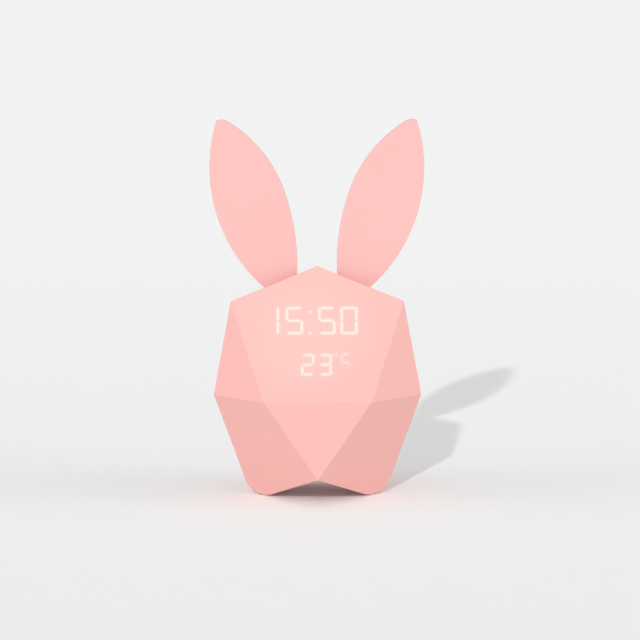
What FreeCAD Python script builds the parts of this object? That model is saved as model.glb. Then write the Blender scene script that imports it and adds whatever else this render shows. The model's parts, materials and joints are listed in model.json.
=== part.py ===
import FreeCAD, Part
import math
import os
import re

# A faceted bedside alarm clock with leaf-shaped ears and a night light.
# Millimetres, +Z up, the front faces -Y. The origin is on the floor, midway under the body.

os.makedirs("parts", exist_ok=True)
doc = FreeCAD.newDocument("AlarmClock")
Vector = FreeCAD.Vector

driving = {
    # The faceted case
    "body_width": 110.0,
    "equator_height": 55.3,
    "front_edge_width": 56.0,
    "front_edge_reach": 42.7,
    "side_edge_length": 28.0,
    "shoulder_width": 91.0,
    "shoulder_rise": 50.6,
    "front_peak_rise": 68.3,
    "front_peak_reach": 10.9,
    "rear_peak_rise": 59.0,
    "rear_peak_reach": 10.8,
    "nose_reach": 48.0,
    "arch_height": 15.1,
    "arch_slope": 29.3,
    "side_taper": 18.8,
    "wall": 2.2,
    "edge_round": 0.5,
    "lip_height": 2.5,
    "lip_gap": 0.15,
    # The ears: the rises are above the widest level of the case
    "ear_thickness": 6.0,
    "ear_back": 0.0,
    "ear_top_rise": 145.0,
    "ear_tip_x": 50.1,
    "ear_tip_width": 6.8,
    "ear_tip_shape": 0.85,
    "ear_tip_outer_drop": 0.5,
    "ear_tip_inner_drop": 1.0,
    "ear_bulge_x": 56.7,
    "ear_bulge_rise": 121.7,
    "ear_inner_x": 16.1,
    "ear_inner_rise": 104.0,
    "ear_upper_bow": 4.6,
    "ear_lower_bow": 2.35,
    "ear_root_inner": 11.0,
    "ear_root_outer": 27.5,
    "ear_root_rise": 55.7,
    "ear_tab_rise": 38.7,
    "ear_edge": 0.8,
    "ear_slot_gap": 0.15,
    "ear_rib": 2.6,
    "ear_screw_inset": 3.5,
    "ear_screw_rise": 42.7,
    "ear_rib_margin": 1.0,
    # The rubber pads under the feet
    "pad_proud": 0.3,
    "pad_width": 4.0,
    "pad_length": 10.6,
    "pad_depth": 1.5,
    # The lit display behind the front facet
    "window_skin": 1.2,
    "window_width": 62.0,
    "window_low": 11.0,
    "window_high": 56.5,
    "mask_thickness": 3.0,
    "mask_gap": 0.3,
    "mask_margin": 1.0,
    "time_row": 44.9,
    "digit_height": 15.3,
    "digit_width": 9.1,
    "digit_pitch": 12.0,
    "colon_x": 3.7,
    "colon_above": 4.2,
    "colon_below": 6.8,
    "colon_to_digit": 8.6,
    "segment_width": 1.5,
    "degree_row": 20.7,
    "small_digit_height": 12.0,
    "small_digit_width": 7.2,
    "small_digit_pitch": 9.1,
    "small_digit_shift": 0.6,
    "unit_x": 13.8,
    "unit_row": 24.1,
    "unit_height": 5.2,
    "unit_width": 3.7,
    "degree_dot_x": 9.9,
    "degree_dot_row": 25.7,
    "segment_gap": 0.1,
    "segment_break": 0.5,
    "board_thickness": 1.6,
    "display_post_x": 33.0,
    "display_post_low": 26.0,
    "display_post_high": 50.0,
    "display_post": 4.4,
    # The control panel on the rear facet
    "panel_width": 56.0,
    "panel_height": 40.0,
    "panel_row": 26.0,
    "panel_thickness": 2.0,
    "panel_corner": 5.0,
    "panel_gap": 0.15,
    "ledge_side": 7.0,
    "ledge_end": 3.0,
    "ledge_thickness": 2.4,
    "opening_corner": 2.0,
    "board_drop": 6.5,
    "main_board_width": 41.0,
    "main_board_height": 31.0,
    "post_x": 18.2,
    "post_y": 13.0,
    "post_diameter": 4.4,
    "post_floor": 1.0,
    "button_diameter": 8.0,
    "button_proud": 1.2,
    "button_gap": 0.2,
    "button_travel": 0.5,
    "button_pitch": 14.0,
    "button_row": -1.0,
    "upper_button_x": 8.0,
    "upper_button_row": 11.0,
    "flange_diameter": 10.2,
    "flange_thickness": 1.0,
    "stem_diameter": 3.4,
    "stem_rest": 0.8,
    "plunger_drop": 0.7,
    "switch_side": 6.0,
    "switch_height": 3.5,
    "port_row": -13.0,
    "port_width": 8.94,
    "port_height": 3.26,
    "port_wall": 0.3,
    "port_play": 0.4,
    "port_flat": 0.1,
    "port_sunk": 0.3,
    "port_floor": 1.0,
    "knob_x": -10.6,
    "knob_width": 3.0,
    "knob_height": 2.4,
    "knob_travel": 2.0,
    "knob_proud": 0.9,
    "knob_play": 0.4,
    "fork_depth": 1.0,
    "slide_switch_width": 8.4,
    "slide_switch_height": 3.6,
    "reset_x": 9.0,
    "reset_hole": 1.2,
    "chip_thickness": 1.0,
    "processor_side": 7.0,
    "processor_y": 4.0,
    "chip_width": 5.0,
    "chip_height": 4.0,
    "chip_x": 9.0,
    "chip_y": 5.0,
    # The speaker behind the lower rear facet
    "speaker_diameter": 24.0,
    "speaker_row": -14.2,
    "speaker_depth": 6.0,
    "speaker_gap": 0.3,
    "speaker_sides": 24,
    "grille_sides": 6,
    "speaker_play": 0.2,
    "grille_hole": 2.0,
    "grille_pitch": 3.4,
    "collar_wall": 1.6,
    "magnet_diameter": 14.0,
    "magnet_depth": 4.0,
    "cone_rim": 1.2,
    "cone_lip": 0.8,
    "cone_skin": 0.6,
    "cone_seat": 1.0,
    # The rechargeable cell and its tray
    "cell_width": 48.0,
    "cell_depth": 30.0,
    "cell_height": 10.0,
    "cell_gap": 0.2,
    "cell_flat": 1.0,
    "tape_margin": 2.0,
    "tray_wall": 2.0,
    "tray_rise": 9.0,
    "tray_lift": 0.6,
    "tape_thickness": 1.0,
    # The night light
    "lamp_board_width": 88.0,
    "lamp_board_depth": 22.0,
    "lamp_board_drop": 9.3,
    "lamp_post_x": 38.5,
    "lamp_pitch": 16.0,
    "lamp_side": 5.0,
    "lamp_height": 1.6,
    # The leads between the boards, the speaker and the cell
    "lead_width": 1.6,
    "lead_thickness": 1.0,
    "lead_stand": 5.0,
    "ribbon_width": 12.0,
    "ribbon_thickness": 0.4,
    "ribbon_row": 33.0,
    "ribbon_y": 12.0,
    "lead_y": 13.5,
    "battery_lead_x": 14.0,
    "battery_lead_out": 4.5,
    "battery_lead_back": 15.0,
    "battery_lead_rise": 6.0,
    "battery_lead_drop": 1.0,
    "speaker_lead_y": 14.5,
    "speaker_lead_up": 9.5,
    "speaker_lead_stand": 2.5,
    "lamp_lead_x": 8.0,
    "lamp_lead_y": 9.0,
    # Screws
    "peg_sides": 8,
    "pilot_play": 0.1,
    "hole_play": 0.3,
    "boss_wall": 0.8,
    "screw_diameter": 2.0,
    "screw_head": 3.8,
    "screw_head_height": 1.3,
    "screw_length": 6.0,
    "case_screw_x": 24.0,
    "case_screw_y": 33.0,
    "case_boss": 7.0,
    "case_screw_diameter": 2.6,
    "case_screw_seat": 12.0,
    "case_screw_length": 18.0,
    "case_screw_head": 4.8,
    # The hooks that hold the sides of the case together
    "hook_gap": 0.2,
    "hook_width": 8.0,
    "hook_thickness": 1.8,
    "hook_drop": 8.5,
    "hook_play": 0.3,
    "bridge_gap": 0.5,
    "bridge_depth": 4.0,
    "catch_spread": 2.0,
}

sheet = doc.addObject("Spreadsheet::Sheet", "Dims")
for row, (alias, value) in enumerate(driving.items(), 1):
    sheet.set(f"A{row}", alias)
    sheet.set(f"B{row}", str(value))
    sheet.setAlias(f"B{row}", alias)
doc.recompute()


def size(alias):
    return float(sheet.get(alias))


def cells(expression):
    return re.sub(r"[a-z_]{4,}", lambda found: "Dims." + found.group(), str(expression))


pieces = []


def keep(label, item, frame=None):
    item.Label = label
    if frame:
        item.Placement = frame
    pieces.append(item)
    return item


def block(name, width, depth, height, x="0", y="0", z="0"):
    item = doc.addObject("Part::Box", name)
    item.setExpression("Length", cells(width))
    item.setExpression("Width", cells(depth))
    item.setExpression("Height", cells(height))
    item.setExpression("Placement.Base.x", cells(f"{x} - ({width}) / 2"))
    item.setExpression("Placement.Base.y", cells(f"{y} - ({depth}) / 2"))
    item.setExpression("Placement.Base.z", cells(z))
    return item


def rod(name, diameter, height, x="0", y="0", z="0"):
    item = doc.addObject("Part::Cylinder", name)
    item.setExpression("Radius", cells(f"({diameter}) / 2"))
    item.setExpression("Height", cells(height))
    item.setExpression("Placement.Base.x", cells(x))
    item.setExpression("Placement.Base.y", cells(y))
    item.setExpression("Placement.Base.z", cells(z))
    return item


def peg(name, diameter, height, x="0", y="0", z="0", sides="peg_sides"):
    item = doc.addObject("Part::Prism", name)
    item.setExpression("Polygon", cells(sides))
    item.setExpression("Circumradius", cells(f"({diameter}) / 2"))
    item.setExpression("Height", cells(height))
    item.setExpression("Placement.Base.x", cells(x))
    item.setExpression("Placement.Base.y", cells(y))
    item.setExpression("Placement.Base.z", cells(z))
    return item


def joined(name, *items):
    whole = doc.addObject("Part::MultiFuse", name)
    whole.Shapes = list(items)
    return whole


def grouped(name, *items):
    whole = doc.addObject("Part::Compound", name)
    whole.Links = list(items)
    return whole


def without(name, base, *tools):
    result = doc.addObject("Part::Cut", name)
    result.Base = base
    result.Tool = tools[0] if len(tools) == 1 else joined(name + "_voids", *tools)
    return result


def solidPiece(label, shape, frame=None):
    item = doc.addObject("Part::Feature", label)
    item.Shape = shape
    return keep(label, item, frame)


def sketchOn(body, name, role, outlines):
    sketch = body.newObject("Sketcher::SketchObject", name)
    plane = [feature for feature in body.Origin.OriginFeatures if feature.Role == role][0]
    sketch.AttachmentSupport = [(plane, "")]
    sketch.MapMode = "FlatFace"
    for outline in outlines:
        for curve in outline:
            sketch.addGeometry(curve, False)
    return sketch


def padded(name, role, outlines, length, reverse=False):
    body = doc.addObject("PartDesign::Body", name)
    pad = body.newObject("PartDesign::Pad", name + "_pad")
    pad.Profile = sketchOn(body, name + "_outline", role, outlines)
    pad.setExpression("Length", cells(length))
    pad.Reversed = reverse
    body.Tip = pad
    return body


def pocketed(body, name, role, outlines):
    doc.recompute()
    before = body.Shape.Volume
    pocket = body.newObject("PartDesign::Pocket", name)
    pocket.Profile = sketchOn(body, name + "_outline", role, outlines)
    pocket.Type = "ThroughAll"
    pocket.Midplane = True
    body.Tip = pocket
    doc.recompute()
    if body.Shape.Volume >= before:
        raise RuntimeError(name + " cuts nothing")
    return pocket


def ring(diameter, x=0.0, y=0.0, z=0.0, sides="peg_sides"):
    count = int(size(sides))
    turns = [2 * math.pi * corner / count for corner in range(count + 1)]
    radius = diameter / 2
    return [Vector(x + radius * math.cos(turn), y + radius * math.sin(turn), z) for turn in turns]


def ringOutline(diameter, x=0.0, y=0.0):
    corners = ring(diameter, x, y)
    return [Part.LineSegment(a, b) for a, b in zip(corners, corners[1:])]


def circle(diameter, x=0.0, y=0.0):
    return [Part.Circle(Vector(x, y, 0), Vector(0, 0, 1), diameter / 2)]


def roundedRectangle(width, height, corner, x=0.0, y=0.0):
    right, top = width / 2, height / 2
    diagonal = corner * (1 - math.sqrt(0.5))
    curves = []
    for sx, sy in ((1, 1), (-1, 1), (-1, -1), (1, -1)):
        first = Vector(x + sx * right, y + sy * (top - corner), 0)
        bend = Vector(x + sx * (right - diagonal), y + sy * (top - diagonal), 0)
        last = Vector(x + sx * (right - corner), y + sy * top, 0)
        curves.append(Part.ArcOfCircle(first, bend, last))
    level = Vector(x + right - corner, y + top, 0), Vector(x - right + corner, y + top, 0)
    upright = Vector(x + right, y + top - corner, 0), Vector(x + right, y - top + corner, 0)
    curves.append(Part.LineSegment(*level))
    curves.append(Part.LineSegment(*[point - Vector(0, height, 0) for point in level]))
    curves.append(Part.LineSegment(*upright))
    curves.append(Part.LineSegment(*[point - Vector(width, 0, 0) for point in upright]))
    return curves


# The corners of the case: the front and the back share the equator and the lower half

wall = size("wall")
equator = size("equator_height")
edgeHalf = size("front_edge_width") / 2
reach = size("front_edge_reach")
frontEdge = Vector(-edgeHalf, -reach, equator)
rearEdge = Vector(-edgeHalf, reach, equator)
sideFront = Vector(-size("body_width") / 2, -size("side_edge_length") / 2, equator)
sideRear = Vector(-size("body_width") / 2, size("side_edge_length") / 2, equator)
frontPeak = Vector(0, -size("front_peak_reach"), equator + size("front_peak_rise"))
rearPeak = Vector(0, size("rear_peak_reach"), equator + size("rear_peak_rise"))
frontNose = Vector(0, -size("nose_reach"), size("arch_height"))
shoulderLean = (reach - size("front_peak_reach")) / size("front_peak_rise")
shoulder = Vector(
    -size("shoulder_width") / 2,
    -reach + shoulderLean * size("shoulder_rise"),
    equator + size("shoulder_rise"),
)
middle = Vector(0, 0, equator)


def mirrored(point, x=1, y=1):
    return Vector(point.x * x, point.y * y, point.z)


def facet(first, second, third):
    normal = (second - first).cross(third - first).normalize()
    if normal.dot(middle - first) > 0:
        normal = -normal
    return first, normal


def meeting(first, second, third):
    (p1, n1), (p2, n2), (p3, n3) = first, second, third
    corner = n2.cross(n3) * p1.dot(n1) + n3.cross(n1) * p2.dot(n2) + n1.cross(n2) * p3.dot(n3)
    return corner / n1.dot(n2.cross(n3))


def bothSides(point, normal):
    return [(point, normal), (mirrored(point, x=-1), mirrored(normal, x=-1))]


frontFacet = facet(frontEdge, mirrored(frontEdge, x=-1), frontPeak)
rearFacet = facet(rearEdge, mirrored(rearEdge, x=-1), rearPeak)
sideFacet = facet(sideFront, sideRear, shoulder)
roofFacet = facet(frontPeak, rearPeak, shoulder)
rearShoulder = meeting(roofFacet, rearFacet, sideFacet)
upperFacets = [frontFacet, rearFacet]
upperFacets += bothSides(*sideFacet)
upperFacets += bothSides(*roofFacet)
upperFacets += bothSides(*facet(sideFront, frontEdge, shoulder))
upperFacets += bothSides(*facet(sideRear, rearEdge, rearShoulder))

lowerFront = facet(frontEdge, mirrored(frontEdge, x=-1), frontNose)
lowerCheek = facet(sideFront, frontEdge, frontNose)
lowerFacets = [lowerFront, (mirrored(lowerFront[0], y=-1), mirrored(lowerFront[1], y=-1))]
for point, normal in bothSides(*lowerCheek):
    lowerFacets += [(point, normal), (mirrored(point, y=-1), mirrored(normal, y=-1))]

# Longer than any line through the case
span = 3 * size("body_width")


def insideOf(facets, inset, low, high):
    solid = Part.makeBox(span, span, high - low, Vector(-span / 2, -span / 2, low))
    for point, normal in facets:
        beyond = Part.makeBox(2 * span, 2 * span, span, Vector(-span, -span, 0))
        turn = FreeCAD.Rotation(Vector(0, 0, 1), normal)
        beyond.Placement = FreeCAD.Placement(point - normal * inset, turn)
        solid = solid.cut(beyond)
    return solid


def softened(solid):
    sharp = []
    for edge in solid.Edges:
        if any(abs(vertex.Z - equator) > size("edge_round") / 2 for vertex in edge.Vertexes):
            sharp.append(edge)
    return solid.makeFillet(size("edge_round"), sharp)


# Each foot is a round that touches the taper of the side, the arch and the level of the pads

taper = math.radians(size("side_taper"))
archSlope = math.radians(size("arch_slope"))
footLevel = size("pad_proud")
sideAtFloor = size("body_width") / 2 - math.tan(taper) * (equator - footLevel)
sideShare = 1 / math.cos(taper) - math.tan(taper)
archShare = 1 - 1 / math.cos(archSlope)
archDrop = size("arch_height") - footLevel
footRadius = (archDrop - math.tan(archSlope) * sideAtFloor) / (archShare - math.tan(archSlope) * sideShare)
footX = sideAtFloor - sideShare * footRadius


def footedProfile(inset, low, high):
    radius = footRadius - inset
    sideNormal = Vector(math.cos(taper), 0, -math.sin(taper))
    archNormal = Vector(-math.sin(archSlope), 0, -math.cos(archSlope))
    centre = Vector(footX, 0, footLevel + footRadius)
    sideTouch = centre + sideNormal * radius
    lowest = centre + Vector(0, 0, -radius)
    archTouch = centre + archNormal * radius
    apex = Vector(0, 0, size("arch_height") + inset / math.cos(archSlope))
    sideTop = sideTouch + Vector(math.tan(taper), 0, 1) * (high - sideTouch.z)
    edges = [Part.LineSegment(sideTop, sideTouch), Part.Arc(sideTouch, lowest, archTouch)]
    edges += [Part.LineSegment(archTouch, apex)]
    left = [mirrored(point, x=-1) for point in (apex, archTouch, lowest, sideTouch, sideTop)]
    edges += [Part.LineSegment(left[0], left[1]), Part.Arc(left[1], left[2], left[3])]
    edges += [Part.LineSegment(left[3], left[4]), Part.LineSegment(left[4], sideTop)]
    outline = Part.Wire([edge.toShape() for edge in edges])
    outline.translate(Vector(0, -span / 2, 0))
    return Part.Face(outline).extrude(Vector(0, span, 0))


def lowerInside(inset, high):
    return insideOf(lowerFacets, inset, 0, high).common(footedProfile(inset, 0, high))


def upperInside(inset, low):
    return insideOf(upperFacets, inset, low, frontPeak.z + wall)


# Frames on the facets: X to the right of someone who looks at the facet, Y up it and Z out of it


def facetFrame(origin, top):
    up = (top - origin).normalize()
    right = Vector(-1 if origin.y > 0 else 1, 0, 0)
    return FreeCAD.Placement(origin, FreeCAD.Rotation(right, up, right.cross(up), "ZXY"))


frontMiddle = Vector(0, -reach, equator)
rearMiddle = Vector(0, reach, equator)
frontFrame = facetFrame(frontMiddle, frontPeak)
rearFrame = facetFrame(rearMiddle, rearPeak)
unturned = FreeCAD.Rotation()
panelFrame = rearFrame.multiply(FreeCAD.Placement(Vector(0, size("panel_row"), 0), unturned))
lowerUp = rearMiddle + (rearMiddle - mirrored(frontNose, y=-1))
speakerBase = facetFrame(rearMiddle, lowerUp)
speakerFrame = speakerBase.multiply(FreeCAD.Placement(Vector(0, size("speaker_row"), 0), unturned))


def boxIn(frame, xs, ys, zs):
    solid = Part.makeBox(xs[1] - xs[0], ys[1] - ys[0], zs[1] - zs[0], Vector(xs[0], ys[0], zs[0]))
    solid.Placement = frame
    return solid


def pegIn(frame, diameter, x, y, zs, sides="peg_sides"):
    face = Part.Face(Part.makePolygon(ring(diameter, x, y, zs[0], sides)))
    solid = face.extrude(Vector(0, 0, zs[1] - zs[0]))
    solid.Placement = frame
    return solid


def frustum(lowDiameter, highDiameter, low, high):
    return Part.makeCone(lowDiameter / 2, highDiameter / 2, high - low, Vector(0, 0, low))


def roundedBoxIn(frame, width, height, corner, zs):
    solid = boxIn(FreeCAD.Placement(), (-width / 2, width / 2), (-height / 2, height / 2), zs)
    upright = [edge for edge in solid.Edges if abs(edge.Vertexes[0].Z - edge.Vertexes[1].Z) > 0.01]
    solid = solid.makeFillet(corner, upright)
    solid.Placement = frame
    return solid


level = FreeCAD.Placement()
pilot = size("screw_diameter") + size("pilot_play")
passing = size("screw_diameter") + size("hole_play")


# The ears: one leaf outline, mirrored, with a tab that goes down through a slot in the roof


def bowed(start, end, bow):
    chord = end - start
    return (start + end) / 2 + Vector(-chord.y, chord.x, 0).normalize() * bow


def earOutline(side):
    tipX = side * size("ear_tip_x")
    tipHalf = side * size("ear_tip_width") / 2
    top = equator + size("ear_top_rise")
    root = equator + size("ear_root_rise")
    inner = side * size("ear_root_inner")
    outer = side * size("ear_root_outer")
    rootInner = Vector(inner, root + wall, 0)
    rootOuter = Vector(outer, root, 0)
    tipOuter = Vector(tipX + tipHalf * size("ear_tip_shape"), top - size("ear_tip_outer_drop"), 0)
    tipInner = Vector(tipX - tipHalf, top - size("ear_tip_inner_drop"), 0)
    bulge = Vector(side * size("ear_bulge_x"), equator + size("ear_bulge_rise"), 0)
    bend = Vector(side * size("ear_inner_x"), equator + size("ear_inner_rise"), 0)
    upperMiddle = bowed(tipInner, bend, -side * size("ear_upper_bow"))
    lowerMiddle = bowed(bend, rootInner, -side * size("ear_lower_bow"))
    tabInner = Vector(inner, tabLow, 0)
    tabOuter = Vector(outer, tabLow, 0)
    return [
        Part.ArcOfCircle(rootOuter, bulge, tipOuter),
        Part.ArcOfCircle(tipOuter, Vector(tipX, top, 0), tipInner),
        Part.ArcOfCircle(tipInner, upperMiddle, bend),
        Part.ArcOfCircle(bend, lowerMiddle, rootInner),
        Part.LineSegment(rootInner, tabInner),
        Part.LineSegment(tabInner, tabOuter),
        Part.LineSegment(tabOuter, rootOuter),
    ]


tabLow = equator + size("ear_tab_rise")
earScrewLevel = equator + size("ear_screw_rise")
earScrews = []
for side in (-1, 1):
    earScrews.append((side * (size("ear_root_inner") + size("ear_screw_inset")), earScrewLevel))
    earScrews.append((side * (size("ear_root_outer") - size("ear_screw_inset")), earScrewLevel))

for name, side in (("left_ear", -1), ("right_ear", 1)):
    ear = padded(name, "XZ_Plane", [earOutline(side)], "ear_thickness")
    holes = [ringOutline(passing, x, z) for x, z in earScrews if x * side > 0]
    drilled = pocketed(ear, name + "_screw_holes", "XZ_Plane", holes)
    rims = []
    for number, edge in enumerate(ear.Shape.Edges, 1):
        box = edge.BoundBox
        if box.YLength < 0.01 and box.ZMin > equator + size("ear_root_rise") - size("ear_slot_gap"):
            rims.append(f"Edge{number}")
    easing = ear.newObject("PartDesign::Chamfer", name + "_rim")
    easing.Base = (drilled, rims)
    easing.setExpression("Size", cells("ear_edge"))
    ear.Tip = easing
    keep(name, ear)


def earSlot(side):
    edges = [curve.toShape() for curve in earOutline(side)]
    face = Part.Face(Part.Wire(edges)).makeOffset2D(size("ear_slot_gap"))
    face.rotate(Vector(0, 0, 0), Vector(1, 0, 0), 90)
    depth = size("ear_thickness") + 2 * size("ear_slot_gap")
    face.translate(Vector(0, size("ear_back") + size("ear_slot_gap"), 0))
    return face.extrude(Vector(0, -depth, 0))


# The upper shell

outer = softened(upperInside(0, equator))
upper = outer.cut(upperInside(wall, equator - 1))

maskFront = -size("window_skin") - size("mask_gap")
maskBack = maskFront - size("mask_thickness")
displayPosts = []
for x in (-size("display_post_x"), size("display_post_x")):
    for row in (size("display_post_low"), size("display_post_high")):
        displayPosts.append((x, row))
        post = pegIn(frontFrame, size("display_post"), x, row, (maskBack, -wall / 2))
        upper = upper.fuse(post.common(outer))

ribFront = size("ear_back") + 2 * size("ear_slot_gap")
for side in (-1, 1):
    reachIn = side * (size("ear_root_inner") - size("ear_rib_margin"))
    reachOut = side * (size("ear_root_outer") + size("ear_rib_margin"))
    ribYs = (ribFront, ribFront + size("ear_rib"))
    rib = boxIn(level, sorted((reachIn, reachOut)), ribYs, (tabLow, frontPeak.z))
    upper = upper.fuse(rib.common(outer))

panelWidth = size("panel_width")
panelHeight = size("panel_height")
ledgeBack = -size("panel_thickness") - size("ledge_thickness")
frameWidth = panelWidth / 2 + wall
frameHeight = panelHeight / 2 + wall
panelSeat = boxIn(panelFrame, (-frameWidth, frameWidth), (-frameHeight, frameHeight), (ledgeBack, 0))
upper = upper.fuse(panelSeat.common(outer))

caseScrews = [(x, size("case_screw_y")) for x in (-size("case_screw_x"), size("case_screw_x"))]
for x, y in caseScrews:
    boss = pegIn(level, size("case_boss"), x, y, (equator, frontPeak.z))
    upper = upper.fuse(boss.common(outer))

hookHalf = size("hook_width") / 2
hookYs = (-hookHalf, hookHalf)
hookLow = equator - size("hook_drop")
sideInside = size("body_width") / 2 - math.tan(taper) * size("hook_drop") - wall / math.cos(taper)
barbOut = sideInside - size("hook_gap")
hookOut = barbOut - size("hook_thickness")
hookIn = hookOut - size("hook_thickness")
bridgeLow = equator + size("lip_height") + size("bridge_gap")
bridgeZs = (bridgeLow, bridgeLow + size("bridge_depth"))
for side in (-1, 1):
    leg = boxIn(level, sorted((side * hookIn, side * hookOut)), hookYs, (hookLow, bridgeZs[1]))
    barbXs = sorted((side * hookIn, side * barbOut))
    barb = boxIn(level, barbXs, hookYs, (hookLow, hookLow + size("hook_thickness")))
    bridge = boxIn(level, sorted((side * hookIn, side * span / 2)), hookYs, bridgeZs)
    upper = upper.fuse(bridge.common(outer)).fuse(leg).fuse(barb)

windowMiddle = size("window_width") / 2
windowRows = (size("window_low"), size("window_high"))
windowZs = (maskBack, -size("window_skin"))
upper = upper.cut(boxIn(frontFrame, (-windowMiddle, windowMiddle), windowRows, windowZs))
for x, row in displayPosts:
    upper = upper.cut(pegIn(frontFrame, pilot, x, row, (maskBack - wall, -size("window_skin"))))
for side in (-1, 1):
    upper = upper.cut(earSlot(side))
for x, z in earScrews:
    inward = FreeCAD.Placement(Vector(x, ribFront, z), FreeCAD.Rotation(Vector(1, 0, 0), -90))
    hole = pegIn(inward, pilot, 0, 0, (0, span))
    upper = upper.cut(hole.common(upperInside(wall, equator)))
gap = size("panel_gap")
pocket = roundedBoxIn(
    panelFrame,
    panelWidth + 2 * gap,
    panelHeight + 2 * gap,
    size("panel_corner") + gap,
    (-size("panel_thickness"), wall),
)
openingWidth = panelWidth - 2 * size("ledge_side")
openingHeight = panelHeight - 2 * size("ledge_end")
openingZs = (ledgeBack - wall, wall)
opening = roundedBoxIn(panelFrame, openingWidth, openingHeight, size("opening_corner"), openingZs)
upper = upper.cut(pocket).cut(opening)
panelScrewX = panelWidth / 2 - size("ledge_side") / 2
for x in (-panelScrewX, panelScrewX):
    upper = upper.cut(pegIn(panelFrame, pilot, x, 0, (ledgeBack - wall, 0)))
casePilot = size("case_screw_diameter") + size("pilot_play")
for x, y in caseScrews:
    boreTop = equator + size("case_screw_length") / 2
    upper = upper.cut(pegIn(level, casePilot, x, y, (equator - wall, boreTop)))
lipTop = equator + size("lip_height")
rebate = upperInside(wall / 2, equator - 1).cut(upperInside(wall + size("lip_gap"), equator - 2))
below = boxIn(level, (-span, span), (-span, span), (equator - 1, lipTop + size("lip_gap")))
upper = upper.cut(rebate.common(below))
solidPiece("upper_shell", upper.removeSplitter())

# The lower shell

outerLow = softened(lowerInside(0, equator))
lower = outerLow.cut(lowerInside(wall, equator + 1))
lip = upperInside(wall / 2 + size("lip_gap"), equator).cut(upperInside(wall, equator - 1))
below = boxIn(level, (-span, span), (-span, span), (equator, lipTop))
lower = lower.fuse(lip.common(below))

for x, y in caseScrews:
    lower = lower.fuse(pegIn(level, size("case_boss"), x, y, (0, equator)).common(outerLow))
trayLevel = size("arch_height") + wall / math.cos(archSlope) + size("tray_lift")
bossWidth = size("screw_head") + 2 * size("boss_wall")
for x in (-footX, footX):
    lower = lower.fuse(pegIn(level, bossWidth, x, 0, (0, trayLevel)).common(outerLow))
lampLevel = equator - size("lamp_board_drop")
lampPostXs = (-size("lamp_post_x"), size("lamp_post_x"))
for x in lampPostXs:
    lower = lower.fuse(pegIn(level, bossWidth, x, 0, (0, lampLevel)).common(outerLow))
collarBack = -wall - size("speaker_depth")
speakerBore = size("speaker_diameter") + 2 * size("speaker_play")
collarWidth = speakerBore + 2 * size("collar_wall")
collar = pegIn(speakerFrame, collarWidth, 0, 0, (collarBack, -wall / 2), "speaker_sides")
lower = lower.fuse(collar.common(outerLow))
catchIn = hookOut + size("hook_play")
catchLow = hookLow + size("hook_thickness") + size("hook_play")
catchHalf = hookHalf + size("catch_spread")
for side in (-1, 1):
    catchXs = sorted((side * catchIn, side * span / 2))
    catch = boxIn(level, catchXs, (-catchHalf, catchHalf), (catchLow, catchLow + size("hook_thickness")))
    lower = lower.fuse(catch.common(outerLow))

lower = lower.cut(pegIn(speakerFrame, speakerBore, 0, 0, (collarBack - wall, -wall), "speaker_sides"))
rowStep = size("grille_pitch") * math.sqrt(0.75)
for row in range(-2, 3):
    holes = 5 - abs(row)
    for number in range(holes):
        x = (number - (holes - 1) / 2) * size("grille_pitch")
        hole = pegIn(speakerFrame, size("grille_hole"), x, row * rowStep, (-2 * wall, wall), "grille_sides")
        lower = lower.cut(hole)
for x, y in caseScrews:
    seat = equator - size("case_screw_seat")
    lower = lower.cut(pegIn(level, casePilot + size("hole_play"), x, y, (0, equator + wall)))
    lower = lower.cut(pegIn(level, size("case_screw_head") + size("hole_play"), x, y, (0, seat)))
pilotDepth = size("screw_length")
for x in (-footX, footX):
    lower = lower.cut(pegIn(level, pilot, x, 0, (trayLevel - pilotDepth, trayLevel + wall)))
for x in lampPostXs:
    lower = lower.cut(pegIn(level, pilot, x, 0, (lampLevel - pilotDepth, lampLevel + wall)))
padGap = size("lip_gap")
for x in (-footX, footX):
    width = size("pad_width") / 2 + padGap
    length = size("pad_length") / 2 + padGap
    lower = lower.cut(boxIn(level, (x - width, x + width), (-length, length), (0, size("pad_depth"))))
solidPiece("lower_shell", lower.removeSplitter())

# The pads under the feet

pads = []
for x in (-footX, footX):
    pad = block(f"pad_{len(pads)}", "pad_width", "pad_length", "pad_depth", x=x)
    pads.append(pad)
keep("foot_pads", grouped("foot_pads", *pads))

# The display: segment prisms stand in a mask on a board, close behind the thinned front wall


def bar(x, y, length, upright):
    half = size("segment_width") / 2
    end = (length - size("segment_break")) / 2
    points = [(-end, 0), (half - end, half), (end - half, half)]
    points += [(-px, -py) for px, py in points]
    if upright:
        points = [(py, px) for px, py in points]
    return [(x + px, y + py) for px, py in points]


def digitBars(x, row, width, height):
    stroke = size("segment_width")
    sideX = (width - stroke) / 2
    sideRow = (height - stroke) / 4
    bars = [bar(x, row + step * 2 * sideRow, width - stroke, False) for step in (-1, 0, 1)]
    for side in (-1, 1):
        bars += [bar(x + side * sideX, row + step * sideRow, 2 * sideRow, True) for step in (-1, 1)]
    return bars


def square(x, row):
    half = size("segment_width") / 2
    return [(x - half, row - half), (x + half, row - half), (x + half, row + half), (x - half, row + half)]


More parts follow.
